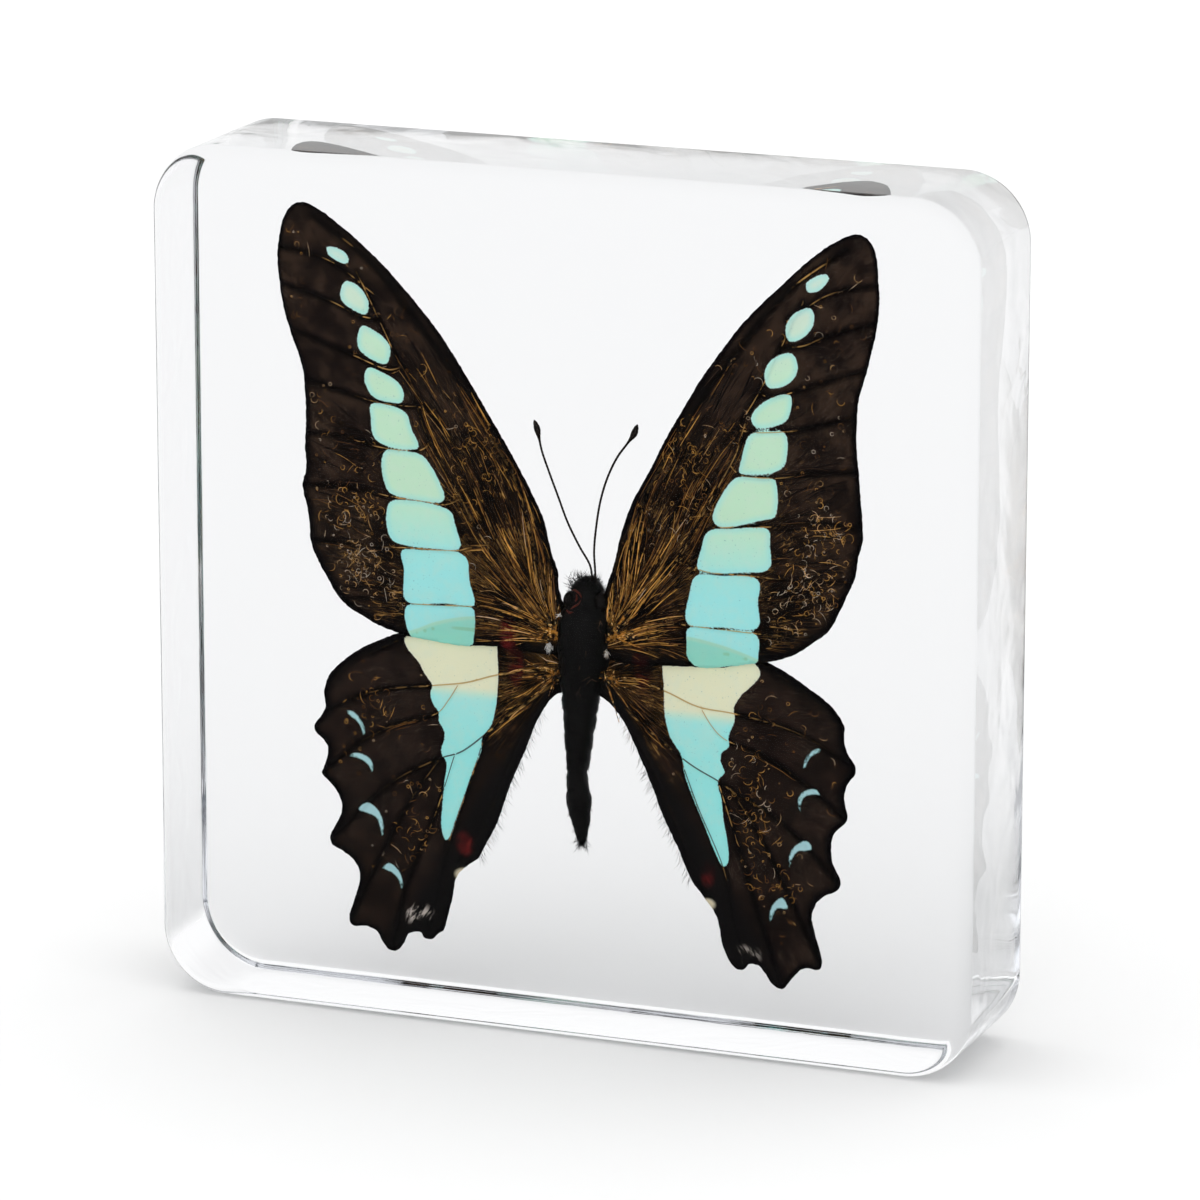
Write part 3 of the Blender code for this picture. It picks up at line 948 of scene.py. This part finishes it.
def amber_shell():
    """Folded shell at the wings' roots: golden ridges that fade to black."""
    s = Shader("amber_shell")
    place = s.place()
    golden = s.step(s.noise(place, 1.3, 3.0), 0.46, 0.60)
    tone = s.mix(golden, (0.005, 0.003, 0.002), (0.50, 0.21, 0.035))
    tone = s.mix(s.step(s.noise(place, 3.3, 2.0), 0.58, 0.66), tone, (0.98, 0.60, 0.20))
    bump = s.node(
        "ShaderNodeBump",
        {"Height": s.noise(place, 9.0, 3.0), "Strength": 0.5, "Distance": 0.00004},
    )
    surface = s.node(
        "ShaderNodeBsdfPrincipled",
        {"Base Color": tone, "Roughness": 0.35, "Specular IOR Level": WETTED_SPECULAR,
         "Normal": bump.outputs[0]},
    )
    return s.finish(surface.outputs[0])


def hair_finish(name, shades):
    """Hairs and fibres, each coloured along the (tint, colour) shades by the tint that it carries."""
    s = Shader(name)
    tint = s.value("tint")
    tone = shades[0][1]
    for (low, _), (high, color) in zip(shades, shades[1:]):
        tone = s.mix(s.step(tint, low, high), tone, color)
    streak = s.noise(s.place(), 2.6, 2.0)
    tone = s.mix(s.step(streak, 0.5, 0.3, 0.0, 0.75), tone, (0.004, 0.003, 0.002))
    surface = s.node(
        "ShaderNodeBsdfPrincipled",
        {"Base Color": tone, "Roughness": 0.5, "Specular IOR Level": HAIR_SPECULAR},
    )
    return s.finish(surface.outputs[0])


# Shades of the body hairs by tint. Tints near 0.3 give the grey-blue of the hairs that stand in for
# painted glints; 1.0 is the white of the tufts and of the painted glint beside the eye.
FUR_SHADES = (
    (0.0, (0.0022, 0.0020, 0.0022)), (0.3, (0.030, 0.030, 0.038)), (0.6, (0.45, 0.24, 0.08)),
    (1.0, (0.88, 0.87, 0.83)),
)
# Shades of the wing fibres by tint: black, brown and gold scales; the pale end at 1.0 is partly painted
# glints on curled scales.
FIBRE_SHADES = (
    (0.0, (0.0022, 0.0020, 0.0022)), (0.25, (0.060, 0.034, 0.021)), (0.5, (0.24, 0.10, 0.022)),
    (0.75, (0.88, 0.44, 0.09)), (1.0, (0.72, 0.62, 0.50)),
)


# ---------------------------------------------------------------- the resin block
def make_block():
    """The slab with finely rounded corners and edges, exactly as large as the CAD one."""
    size = block_high - block_low
    slab = bmesh.new()
    bmesh.ops.create_cube(slab, size=1.0)
    bmesh.ops.scale(slab, vec=size, verts=slab.verts)
    bmesh.ops.translate(slab, vec=(block_low + block_high) / 2, verts=slab.verts)
    across = [e for e in slab.edges if abs(e.verts[0].co.y - e.verts[1].co.y) > size.y / 2]
    bmesh.ops.bevel(
        slab, geom=across, affect="EDGES", offset_type="OFFSET",
        offset=CORNER_RADIUS * MM, segments=CORNER_SEGMENTS, profile=0.5,
    )
    outline = [
        e for e in slab.edges
        if abs(e.verts[0].co.y - e.verts[1].co.y) < 1e-7 and len(e.link_faces) == 2
        and any(abs(abs(f.normal.y) - 1.0) < 1e-4 for f in e.link_faces)
    ]
    bmesh.ops.bevel(
        slab, geom=outline, affect="EDGES", offset_type="OFFSET",
        offset=EDGE_RADIUS * MM, segments=EDGE_SEGMENTS, profile=0.5,
    )
    bmesh.ops.recalc_face_normals(slab, faces=slab.faces)
    mesh = bpy.data.meshes.new("resin_slab")
    slab.to_mesh(mesh)
    slab.free()
    mesh.shade_smooth()
    mesh.set_sharp_from_angle(angle=math.radians(30.0))
    mesh.materials.append(clear_resin())
    made = bpy.data.objects.new("resin_slab", mesh)
    bpy.context.scene.collection.objects.link(made)
    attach(made, "root")
    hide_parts("resin_block")
    return made


# ------------------------------------------------------------------ tubes and body
def ring_faces(count, sides):
    """Faces of a closed body made of rings of points: its quads, and a cap at each end."""
    faces = []
    for i in range(count - 1):
        for k in range(sides):
            a = i * sides + k
            b = i * sides + (k + 1) % sides
            faces.append((a, b, b + sides, a + sides))
    faces.append(tuple(range(sides - 1, -1, -1)))
    faces.append(tuple((count - 1) * sides + k for k in range(sides)))
    return faces


def tube(line, radii, sides=8):
    """(points, faces) of a closed tube along the line, with a radius at each of its points."""
    line = np.asarray(line, float)
    tangents = np.gradient(line, axis=0)
    tangents /= np.linalg.norm(tangents, axis=1)[:, None]
    across = np.cross(tangents[0], (0.0, 1.0, 0.0))
    across /= np.linalg.norm(across)
    points = []
    for place, along, radius in zip(line, tangents, radii):
        across = across - along * (across @ along)
        across /= np.linalg.norm(across)
        beside = np.cross(along, across)
        for k in range(sides):
            turn = 2 * math.pi * k / sides
            points.append(place + radius * (math.cos(turn) * across + math.sin(turn) * beside))
    return points, ring_faces(len(line), sides)


def joined(parts):
    """One list of points and one of faces from several."""
    points, faces = [], []
    for more_points, more_faces in parts:
        start = len(points)
        points += list(more_points)
        faces += [tuple(i + start for i in face) for face in more_faces]
    return points, faces


# Each is (height, left side, right side, front, back) of the body there, from the tail to the head.
BODY_SECTIONS = [
    (15.0, -0.85, -0.6, 3.9, 4.2), (15.6, -1.2, -0.35, 3.6, 4.5), (16.6, -1.55, -0.1, 3.3, 4.9),
    (18.0, -2.0, 0.05, 3.0, 5.2), (19.2, -2.2, 0.1, 2.9, 5.3), (20.4, -2.15, -0.15, 2.9, 5.4),
    (21.6, -2.15, -0.3, 2.9, 5.4), (23.2, -2.25, 0.0, 2.8, 5.5), (25.0, -2.4, 0.35, 2.7, 5.6),
    (27.0, -2.5, 0.6, 2.6, 5.7), (28.6, -2.6, 0.9, 2.4, 5.9), (29.8, -2.8, 1.3, 2.1, 6.1),
    (31.4, -2.9, 1.8, 1.8, 6.3), (33.2, -2.95, 2.0, 1.6, 6.4), (34.8, -2.9, 2.0, 1.6, 6.3),
    (36.0, -2.5, 1.8, 1.9, 6.1), (36.8, -1.9, 1.5, 2.2, 5.7), (37.4, -1.8, 1.4, 2.3, 5.5),
    (38.1, -1.6, 1.3, 2.4, 5.3), (38.7, -1.2, 0.9, 2.8, 5.0), (39.1, -0.6, 0.4, 3.4, 4.5),
]
BODY_RINGS = 150
BODY_SIDES = 64
ABDOMEN_TOP = 28.6
SEGMENT_LENGTH = 1.75


def body_points():
    """Rings of points up the body: a segmented abdomen, a deep thorax and a round head."""
    sections = np.array(BODY_SECTIONS)
    heights = smooth_curve([(i, h) for i, h in enumerate(sections[:, 0])], 0.05)
    spread = np.linspace(0, len(heights) - 1, BODY_RINGS).round().astype(int)
    rings = []
    for index, height in heights[spread]:
        at = [np.interp(index, np.arange(len(sections)), sections[:, k]) for k in range(1, 5)]
        left, right, front, back = at
        pinch = 1.0
        if height < ABDOMEN_TOP:
            phase = (ABDOMEN_TOP - height) / SEGMENT_LENGTH % 1.0
            pinch = 1.0 - 0.07 * math.exp(-((min(phase, 1.0 - phase) / 0.13) ** 2))
        ring = []
        for k in range(BODY_SIDES):
            turn = 2 * math.pi * k / BODY_SIDES
            x = (left + right) / 2 + pinch * (right - left) / 2 * math.cos(turn)
            y = (front + back) / 2 + pinch * (back - front) / 2 * math.sin(turn)
            swell = 0.09 * noise.noise(Vector((x * 0.9, y * 0.9, height * 0.7)))
            swell += 0.04 * noise.noise(Vector((x * 3.1, y * 3.1, height * 2.6)))
            ring.append((x + swell * math.cos(turn), y + swell * math.sin(turn), height))
        rings.append(ring)
    return np.array(rings)


def make_body():
    """Head, thorax and abdomen, which are one shell."""
    rings = body_points()
    body = new_object("body", rings.reshape(-1, 3), ring_faces(len(rings), BODY_SIDES))
    body.data.materials.append(chitin("chitin_black", (0.0016, 0.0014, 0.0014), 0.32))
    return body, rings


def make_eyes():
    """Two round compound eyes set into the sides of the head."""
    parts = []
    for x, z in ((-1.55, 36.9), (1.2, 37.1)):
        ball = bmesh.new()
        bmesh.ops.create_icosphere(ball, subdivisions=4, radius=0.78)
        points = [(x + v.co.x * 0.9, 3.3 + v.co.y, z + v.co.z * 1.2) for v in ball.verts]
        faces = [tuple(v.index for v in f.verts) for f in ball.faces]
        ball.free()
        parts.append((points, faces))
    eyes = new_object("eyes", *joined(parts))
    eyes.data.materials.append(chitin("eye_glaze", (0.0020, 0.0014, 0.0012), 0.08))
    return eyes


def hair(root, direction, length, width, bend):
    """(points, faces) of one bristle: three sides, two joints, drawn out to a point."""
    direction = direction / np.linalg.norm(direction)
    across = np.cross(direction, (0.31, 0.52, 0.79))
    across /= np.linalg.norm(across)
    beside = np.cross(direction, across)
    points = []
    for share, size in ((0.0, 1.0), (0.5, 0.7)):
        centre = root + direction * length * share + bend * share * share
        for k in range(3):
            turn = 2 * math.pi * k / 3
            points.append(centre + width * size * (math.cos(turn) * across + math.sin(turn) * beside))
    points.append(root + direction * length + bend)
    faces = [(2, 1, 0)]
    for k in range(3):
        nxt = (k + 1) % 3
        faces.append((k, nxt, nxt + 3, k + 3))
        faces.append((k + 3, nxt + 3, 6))
    return points, faces


def make_fur(name, roots, rng, length, width):
    """Bristles at the given (point, direction, share of full length, tint) places."""
    parts, tints = [], []
    for root, direction, share, tint in roots:
        lean = np.array(direction, float)
        lean = lean / np.linalg.norm(lean) + rng.normal(0.0, 0.22, 3)
        bend = rng.normal(0.0, 0.10, 3) * share
        size = length * share * rng.uniform(0.6, 1.25)
        bristle = hair(np.array(root, float), lean, size, width, bend)
        parts.append(bristle)
        tints += [tint] * len(bristle[0])
    fur = new_object(name, *joined(parts))
    set_attribute(fur.data, "tint", tints)
    fur.data.materials.append(hair_finish(name, FUR_SHADES))
    return fur


def body_hair(rings):
    """Where the hairs of the body grow: thick on the head and thorax, short on the abdomen."""
    rng = np.random.default_rng(SEED)
    roots = []
    heights = rings[:, 0, 2]
    for _ in range(3200):
        height = rng.uniform(heights[0], heights[-1])
        i = int(np.searchsorted(heights, height)) - 1
        i = max(0, min(i, len(rings) - 2))
        k = rng.integers(BODY_SIDES)
        place = rings[i, k] + (rings[i + 1, k] - rings[i, k]) * rng.random()
        out = place - rings[i].mean(0)
        out[2] = 0.0
        out /= np.linalg.norm(out) + 1e-9
        if height > 36.6:
            direction = out + np.array((0.0, 0.0, 1.1 * (height - 36.9) / 2.0 + 0.2))
            share = 0.7
        elif height > 29.5:
            direction = out * 0.45 + np.array((0.0, 0.0, -1.0))
            share = 0.75
        else:
            direction = out * 0.35 + np.array((0.0, 0.0, -1.0))
            share = 0.42
        # The few grey hairs are partly painted glints on the black body.
        tint = 0.0 if rng.random() < 0.97 else rng.uniform(0.08, 0.24)
        roots.append((place - out * 0.05, direction, share, tint))
    return roots, rng


def tuft(centre, spread, direction, tint, number, rng):
    """Where the hairs of a small tuft grow."""
    roots = []
    for _ in range(number):
        place = np.array(centre) + rng.normal(0.0, 1.0, 3) * np.array(spread)
        lean = np.array(direction) + rng.normal(0.0, 0.35, 3)
        roots.append((place, lean, 1.0, rng.uniform(*tint)))
    return roots


def margin_hair(outline, low, high, side, depth, rng, count, length):
    """Where the hairs along a hindwing's inner margin grow."""
    line = smooth_curve(outline, 0.05, closed=True)
    line = line[(line[:, 1] > low) & (line[:, 1] < high) & (np.abs(line[:, 0] + 0.8) < 13.0)]
    roots = []
    for _ in range(count):
        x, z = line[rng.integers(len(line))]
        direction = (-side * 0.55, rng.normal(0.0, 0.25), -1.0)
        roots.append(((x, depth + rng.normal(0.0, 0.04), z), direction, length, rng.uniform(0.05, 0.5)))
    return roots


# Where a wing is hinged to the thorax, and the ways that its ridges run, in degrees from outwards.
WING_HINGES = (
    (LEFT_FORE_ROOT, -1, FOREWING_DEPTH, (95, 84, 72, 58, 44, 30, 16, 4, -8, -18)),
    (RIGHT_FORE_ROOT, 1, FOREWING_DEPTH, (92, 82, 70, 57, 43, 29, 16, 4, -8, -18)),
    (LEFT_HIND_ROOT, -1, HINDWING_DEPTH - 0.5, (10, -18, -44, -70)),
    (RIGHT_HIND_ROOT, 1, HINDWING_DEPTH - 0.5, (10, -18, -44, -70)),
)


BEAD_SWELL = np.array((0.3, 0.8, 1.0, 0.8, 0.3))


def make_hinges():
    """The folded amber plates and ridges at the wings' roots."""
    rng = np.random.default_rng(SEED + 9)
    parts = []
    for root, side, depth, ways in WING_HINGES:
        for way in ways:
            for _ in range(2):
                turn = math.radians(way + rng.uniform(-7.0, 7.0))
                heading = np.array((side * math.cos(turn), math.sin(turn)))
                length = rng.uniform(1.4, 4.2)
                steps = np.linspace(-0.6, length, 9)
                sway = rng.uniform(-0.25, 0.25) * (steps / length) ** 2
                flat = np.array(root) + steps[:, None] * heading
                flat += sway[:, None] * np.array((-heading[1], heading[0]))
                flat += rng.normal(0.0, 0.02, flat.shape)
                y = depth - 0.10 - 0.25 * np.exp(-((steps / 1.2) ** 2)) + rng.uniform(-0.05, 0.05)
                line = np.stack([flat[:, 0], y, flat[:, 1]], axis=1)
                radii = rng.uniform(0.05, 0.11) * (1.0 - 0.75 * np.linspace(0.0, 1.0, 9))
                parts.append(tube(line, radii, sides=6))
        for _ in range(6):
            centre = np.array(root) + rng.normal(0.0, 0.45, 2) + np.array((side * 0.5, 0.0))
            bead = np.array([(centre[0], depth - 0.3, centre[1])] * 5)
            bead += np.linspace(-0.35, 0.35, 5)[:, None] * rng.normal(0.0, 1.0, 3)
            parts.append(tube(bead, rng.uniform(0.06, 0.13) * BEAD_SWELL, sides=7))
    hinges = new_object("wing_hinges", *joined(parts))
    hinges.data.materials.append(amber_shell())
    return hinges


# The dark red rims of the left eye and the palps beside it, each (radius, points as x, depth, z).
HEAD_MARKS = (
    (0.10, [(-1.35, 2.75, 38.0), (-0.9, 2.35, 38.1), (-0.45, 2.2, 37.85), (-0.25, 2.15, 37.5)]),
    (0.09, [(-0.75, 2.2, 37.8), (-0.7, 2.15, 37.4), (-0.85, 2.2, 37.15)]),
    (0.08, [(-0.3, 2.15, 37.35), (-0.55, 2.15, 36.95), (-1.0, 2.2, 36.65), (-1.3, 2.3, 36.4)]),
    (0.11, [(-1.75, 2.55, 36.25), (-1.4, 2.25, 36.1), (-0.95, 2.1, 36.2)]),
)
LEGS = (
    [(0.6, 6.0, 34.8), (1.9, 6.6, 33.4), (0.8, 6.85, 31.6), (0.3, 6.8, 30.0)],
    [(0.6, 6.1, 33.2), (2.0, 6.7, 31.8), (1.0, 6.9, 30.2), (0.4, 6.85, 28.9)],
    [(0.5, 6.1, 31.8), (1.8, 6.65, 30.4), (0.9, 6.85, 28.6), (0.3, 6.7, 27.4)],
)
BODY_MIDDLE = -0.5


def make_head_marks():
    """The dark red rims and palps of the head."""
    parts = []
    for radius, route in HEAD_MARKS:
        line = smooth_curve(route, 0.08)
        share = np.linspace(0.0, 1.0, len(line))
        parts.append(tube(line, radius * (0.35 + 0.65 * np.sin(share * math.pi)), sides=10))
    marks = new_object("head_marks", *joined(parts))
    marks.data.materials.append(chitin("shell_red", (0.058, 0.012, 0.008), 0.3))
    return marks


def make_legs():
    """Six legs, folded against the underside of the thorax."""
    parts = []
    for route in LEGS:
        for side in (-1.0, 1.0):
            bent = [(BODY_MIDDLE + side * x, y, z) for x, y, z in route]
            line = smooth_curve(bent, 0.12)
            share = np.linspace(0.0, 1.0, len(line))
            joints = 1.0 + 0.25 * np.cos(share * 6.0 * math.pi) ** 8
            parts.append(tube(line, (0.19 - 0.13 * share) * joints, sides=10))
    legs = new_object("legs", *joined(parts))
    legs.data.materials.append(chitin("leg_black", (0.006, 0.004, 0.003), 0.35))
    return legs


LEFT_ANTENNA = [(0.45, 38.7), (0.2, 40.2), (-0.8, 41.8), (-1.9, 43.8), (-2.8, 46.0), (-3.6, 48.0),
                (-4.3, 49.9), (-4.55, 51.0), (-4.75, 51.9), (-5.0, 52.6)]
RIGHT_ANTENNA = [(0.75, 38.7), (0.65, 40.0), (0.55, 41.5), (0.7, 43.5), (1.1, 46.0), (1.7, 48.0),
                 (2.6, 49.9), (3.6, 51.3), (4.15, 52.1), (4.5, 53.0)]
ANTENNA_RADIUS = 0.10
CLUB_RADIUS = 0.30
CLUB_LENGTH = 1.5


def make_antenna(name, route):
    """A thread of short joints that swells to a club at its tip."""
    line = smooth_curve(route, 0.05)
    left = np.linalg.norm(np.diff(line, axis=0), axis=1)[::-1].cumsum()[::-1]
    left = np.append(left, 0.0)
    radii = []
    for to_tip in left:
        joint = 1.0 + 0.10 * math.cos(2 * math.pi * to_tip / 0.32)
        swell = math.exp(-((to_tip - 0.55 * CLUB_LENGTH) / (0.42 * CLUB_LENGTH)) ** 2)
        radius = ANTENNA_RADIUS * joint + (CLUB_RADIUS - ANTENNA_RADIUS) * swell
        radii.append(radius * min(1.0, math.sqrt(to_tip / 0.22 + 0.02)))
    depth = 3.3 + 0.25 * np.sin(np.linspace(0.0, 2.4, len(line)))
    spine = np.stack([line[:, 0], depth, line[:, 1]], axis=1)
    antenna = new_object(name, *tube(spine, radii, sides=10))
    antenna.data.materials.append(chitin("antenna_black", (0.008, 0.006, 0.005), 0.3))
    return antenna


# ---------------------------------------------------------------------- the stage
FLOOR_HALF = 12.0
FLOOR_DROP = 0.0001
FLOOR_TONE = (0.745, 0.745, 0.745)
FRONT_LIGHT = 2.9
BACK_LIGHT = 1.15
SIDE_LIGHT = 1.05
TOP_LIGHT = 1.75


def make_floor():
    """A wide pale floor, a hair's breadth under the block."""
    corners = [(-1, -1), (1, -1), (1, 1), (-1, 1)]
    points = [(x * FLOOR_HALF, y * FLOOR_HALF, -FLOOR_DROP) for x, y in corners]
    mesh = bpy.data.meshes.new("floor")
    mesh.from_pydata(points, [], [(0, 1, 2, 3)])
    floor = bpy.data.objects.new("floor", mesh)
    bpy.context.scene.collection.objects.link(floor)
    s = Shader("floor_white")
    surface = s.node(
        "ShaderNodeBsdfPrincipled",
        {"Base Color": FLOOR_TONE, "Roughness": 0.9, "Specular IOR Level": 0.0},
    )
    mesh.materials.append(s.finish(surface.outputs[0]))
    return floor


def make_world():
    """Soft studio light: brightest low down in front, then overhead, and plain white elsewhere."""
    world = bpy.data.worlds.new("studio")
    bpy.context.scene.world = world
    world.use_nodes = True
    tree = world.node_tree
    background = tree.nodes["Background"]
    where = tree.nodes.new("ShaderNodeTexCoord")
    parts = tree.nodes.new("ShaderNodeSeparateXYZ")
    tree.links.new(where.outputs["Generated"], parts.inputs[0])

    def step(value, low, high, to_low, to_high):
        made = tree.nodes.new("ShaderNodeMapRange")
        made.interpolation_type = "SMOOTHSTEP"
        tree.links.new(value, made.inputs["Value"])
        for key, number in zip(("From Min", "From Max"), (low, high)):
            made.inputs[key].default_value = number
        for key, number in zip(("To Min", "To Max"), (to_low, to_high)):
            if isinstance(number, bpy.types.NodeSocket):
                tree.links.new(number, made.inputs[key])
            else:
                made.inputs[key].default_value = number
        return made.outputs["Result"]

    low_down = step(parts.outputs[1], -0.35, 0.1, FRONT_LIGHT, BACK_LIGHT)
    sides = step(parts.outputs[2], 0.25, 0.55, low_down, SIDE_LIGHT)
    light = step(parts.outputs[2], 0.60, 0.95, sides, TOP_LIGHT)
    tree.links.new(light, background.inputs["Color"])
    background.inputs["Strength"].default_value = 1.0


CAMERA_AZIMUTH = math.radians(21.612)
CAMERA_ELEVATION = math.radians(14.463)
CAMERA_DISTANCE = 0.617579
CAMERA_LENS = 215.39
AIM_HEIGHT = 0.0375
AIM_RIGHT = 0.001119
AIM_UP = -0.000284


def make_camera():
    """The camera stands to the right of the front and looks a little down, through a long lens."""
    back = Vector((
        math.sin(CAMERA_AZIMUTH) * math.cos(CAMERA_ELEVATION),
        -math.cos(CAMERA_AZIMUTH) * math.cos(CAMERA_ELEVATION),
        math.sin(CAMERA_ELEVATION),
    ))
    right = (-back).cross(Vector((0.0, 0.0, 1.0))).normalized()
    up = back.cross(right)
    aim = Vector((0.0, 0.0, AIM_HEIGHT)) + AIM_RIGHT * right + AIM_UP * up
    data = bpy.data.cameras.new("camera")
    data.sensor_width = 36.0
    data.lens = CAMERA_LENS
    camera = bpy.data.objects.new("camera", data)
    bpy.context.scene.collection.objects.link(camera)
    turn = Matrix((right, up, back)).transposed().to_4x4()
    camera.matrix_world = Matrix.Translation(aim + back * CAMERA_DISTANCE) @ turn
    bpy.context.scene.camera = camera


def set_light_paths():
    """Light crosses the block's faces many times, so paths may be long."""
    scene = bpy.context.scene
    scene.cycles.max_bounces = 32
    scene.cycles.transmission_bounces = 32
    scene.cycles.glossy_bounces = 32
    scene.cycles.use_denoising = True
    scene.cycles.denoising_prefilter = "ACCURATE"
    scene.view_settings.view_transform = "Standard"


# ------------------------------------------------------------------------ all of it
def spot(x, z, across, tall):
    """Measures how deep a point is in a small oval mark, in millimetres."""
    def measure(points):
        offset = (points - np.array((x, z))) / np.array((across, tall))
        return (1.0 - np.linalg.norm(offset, axis=1)) * min(across, tall)
    return measure


def most(*measures):
    return lambda points: np.max([measure(points) for measure in measures], axis=0)


def make_wings():
    sides = (
        ("left", LEFT_FOREWING, LEFT_FOREWING_WINDOWS, LEFT_FOREWING_VEINS, LEFT_FORE_ROOT,
         LEFT_HINDWING, LEFT_HINDWING_WINDOW, LEFT_HINDWING_VEINS, LEFT_HIND_ROOT, LEFT_LUNULES,
         most(spot(-11.7, 14.0, 0.75, 0.95), spot(-7.4, 33.4, 0.65, 1.5), spot(-6.8, 30.6, 0.6, 1.4)),
         spot(-11.75, 11.1, 0.85, 0.6), spot(-16.1, 7.0, 1.2, 0.9)),
        ("right", RIGHT_FOREWING, RIGHT_FOREWING_WINDOWS, RIGHT_FOREWING_VEINS, RIGHT_FORE_ROOT,
         RIGHT_HINDWING, RIGHT_HINDWING_WINDOW, RIGHT_HINDWING_VEINS, RIGHT_HIND_ROOT,
         RIGHT_LUNULES,
         most(spot(11.0, 13.7, 0.5, 0.9), spot(4.9, 31.6, 0.6, 1.6)),
         spot(11.0, 11.0, 0.6, 0.45), spot(14.6, 6.8, 0.9, 0.6)),
    )
    fore_upper = wing_finish("forewing_scales", True, False)
    fore_under = wing_finish("forewing_underside", False, False)
    hind_upper = wing_finish("hindwing_scales", True, True)
    hind_under = wing_finish("hindwing_underside", False, True)
    for (side, fore, windows, fore_veins, fore_root, hind, cell, hind_veins, hind_root, lunules,
         red, cream, silver) in sides:
        hind_ring = smooth_curve(hind, RIM_STEP, closed=True)
        # The forewing's marks: its red spots, and where the hindwing and its veins lie, for the painted
        # see-through in its windows.
        fore_marks = {
            "red": red,
            "painted_hindwing_behind": lambda p, ring=hind_ring: signed_distance(p, ring),
            "painted_hindwing_veins": lambda p, veins=hind_veins: vein_profile(p, veins)[0],
        }
        wing = make_wing(
            f"forewing_{side}", fore, windows, fore_veins, fore_root, FOREWING_DEPTH, fore_marks
        )
        wing.data.materials.append(fore_upper)
        wing.data.materials.append(fore_under)
        rings = [smooth_curve(points, 0.2, closed=True) for points in lunules]
        hind_marks = {
            "lunule": lambda p, rings=rings: deepest_in(p, rings),
            "red": red,
            "cream": cream,
            "silver": silver,
        }
        wing = make_wing(
            f"hindwing_{side}", hind, [cell], hind_veins, hind_root, HINDWING_DEPTH, hind_marks
        )
        wing.data.materials.append(hind_upper)
        wing.data.materials.append(hind_under)


def make_wing_fibres():
    rng = np.random.default_rng(SEED + 5)
    fore_ridges = (4, 80, 20.0)
    hind_ridges = (3, 22, 7.0)
    make_fibres("wing_fibres_left", (
        (LEFT_FOREWING, LEFT_FOREWING_WINDOWS, LEFT_FOREWING_VEINS, LEFT_FORE_ROOT, FOREWING_DEPTH,
         FOREWING_FIBRES, fore_ridges, LEFT_FORE_SCUFFS_AND_GLINTS),
        (LEFT_HINDWING, [LEFT_HINDWING_WINDOW] + LEFT_LUNULES, LEFT_HINDWING_VEINS, LEFT_HIND_ROOT,
         HINDWING_DEPTH, HINDWING_FIBRES, hind_ridges, LEFT_HIND_SCUFFS_AND_GLINTS),
    ), rng)
    make_fibres("wing_fibres_right", (
        (RIGHT_FOREWING, RIGHT_FOREWING_WINDOWS, RIGHT_FOREWING_VEINS, RIGHT_FORE_ROOT,
         FOREWING_DEPTH, FOREWING_FIBRES, fore_ridges, RIGHT_FORE_SCUFFS_AND_GLINTS),
        (RIGHT_HINDWING, [RIGHT_HINDWING_WINDOW] + RIGHT_LUNULES, RIGHT_HINDWING_VEINS,
         RIGHT_HIND_ROOT, HINDWING_DEPTH, HINDWING_FIBRES, hind_ridges, RIGHT_HIND_SCUFFS_AND_GLINTS),
    ), rng)


def make_insect():
    make_wings()
    make_wing_fibres()
    _, rings = make_body()
    make_eyes()
    make_head_marks()
    make_hinges()
    make_legs()
    roots, rng = body_hair(rings)
    roots += tuft((-0.7, 3.6, 38.9), (0.45, 0.4, 0.12), (-0.2, -0.2, 0.9), (0.0, 0.08), 75, rng)
    roots += tuft((-1.3, 3.2, 38.3), (0.2, 0.4, 0.25), (-0.9, -0.3, 0.8), (0.0, 0.1), 45, rng)
    roots += tuft((0.4, 3.6, 38.9), (0.35, 0.4, 0.12), (0.3, -0.1, 0.6), (0.0, 0.08), 50, rng)
    roots += tuft((-0.75, 4.05, 15.4), (0.3, 0.3, 0.25), (0.1, -0.1, -1.0), (0.0, 0.15), 90, rng)
    # Painted glints: tiny tufts of greyish hairs stand in for small glints on the thorax.
    for x, z, number in ((0.2, 33.6, 5), (-0.3, 31.8, 4), (-0.6, 29.3, 4), (1.5, 35.4, 6), (0.6, 30.6, 3)):
        roots += tuft((x, 1.9, z), (0.12, 0.05, 0.3), (0.2, -0.3, -1.0), (0.34, 0.42), number, rng)
    make_fur("body_hair", roots, rng, 0.72, 0.024)
    white = tuft((-3.35, 2.3, 32.9), (0.13, 0.1, 0.16), (0.1, -0.2, -0.9), (0.9, 1.0), 70, rng)
    white += tuft((2.0, 2.3, 32.9), (0.10, 0.1, 0.12), (-0.1, -0.2, -0.9), (0.75, 1.0), 26, rng)
    # Painted glint: a tiny tuft of white hairs beside the left eye stands in for a glint on it.
    white += tuft((-2.25, 2.2, 35.8), (0.05, 0.05, 0.05), (0.0, -0.5, 0.1), (0.95, 1.0), 10, rng)
    make_fur("white_tufts_and_painted_glint", white, rng, 0.42, 0.035)
    edges = margin_hair(LEFT_HINDWING, 13.0, 27.0, -1.0, HINDWING_DEPTH, rng, 110, 0.8)
    edges += margin_hair(RIGHT_HINDWING, 13.0, 27.0, 1.0, HINDWING_DEPTH, rng, 110, 0.8)
    make_fur("wing_hair", edges, rng, 1.3, 0.014)
    make_antenna("antenna_left", LEFT_ANTENNA)
    make_antenna("antenna_right", RIGHT_ANTENNA)


make_camera()
make_world()
make_floor()
set_light_paths()
make_block()
make_insect()
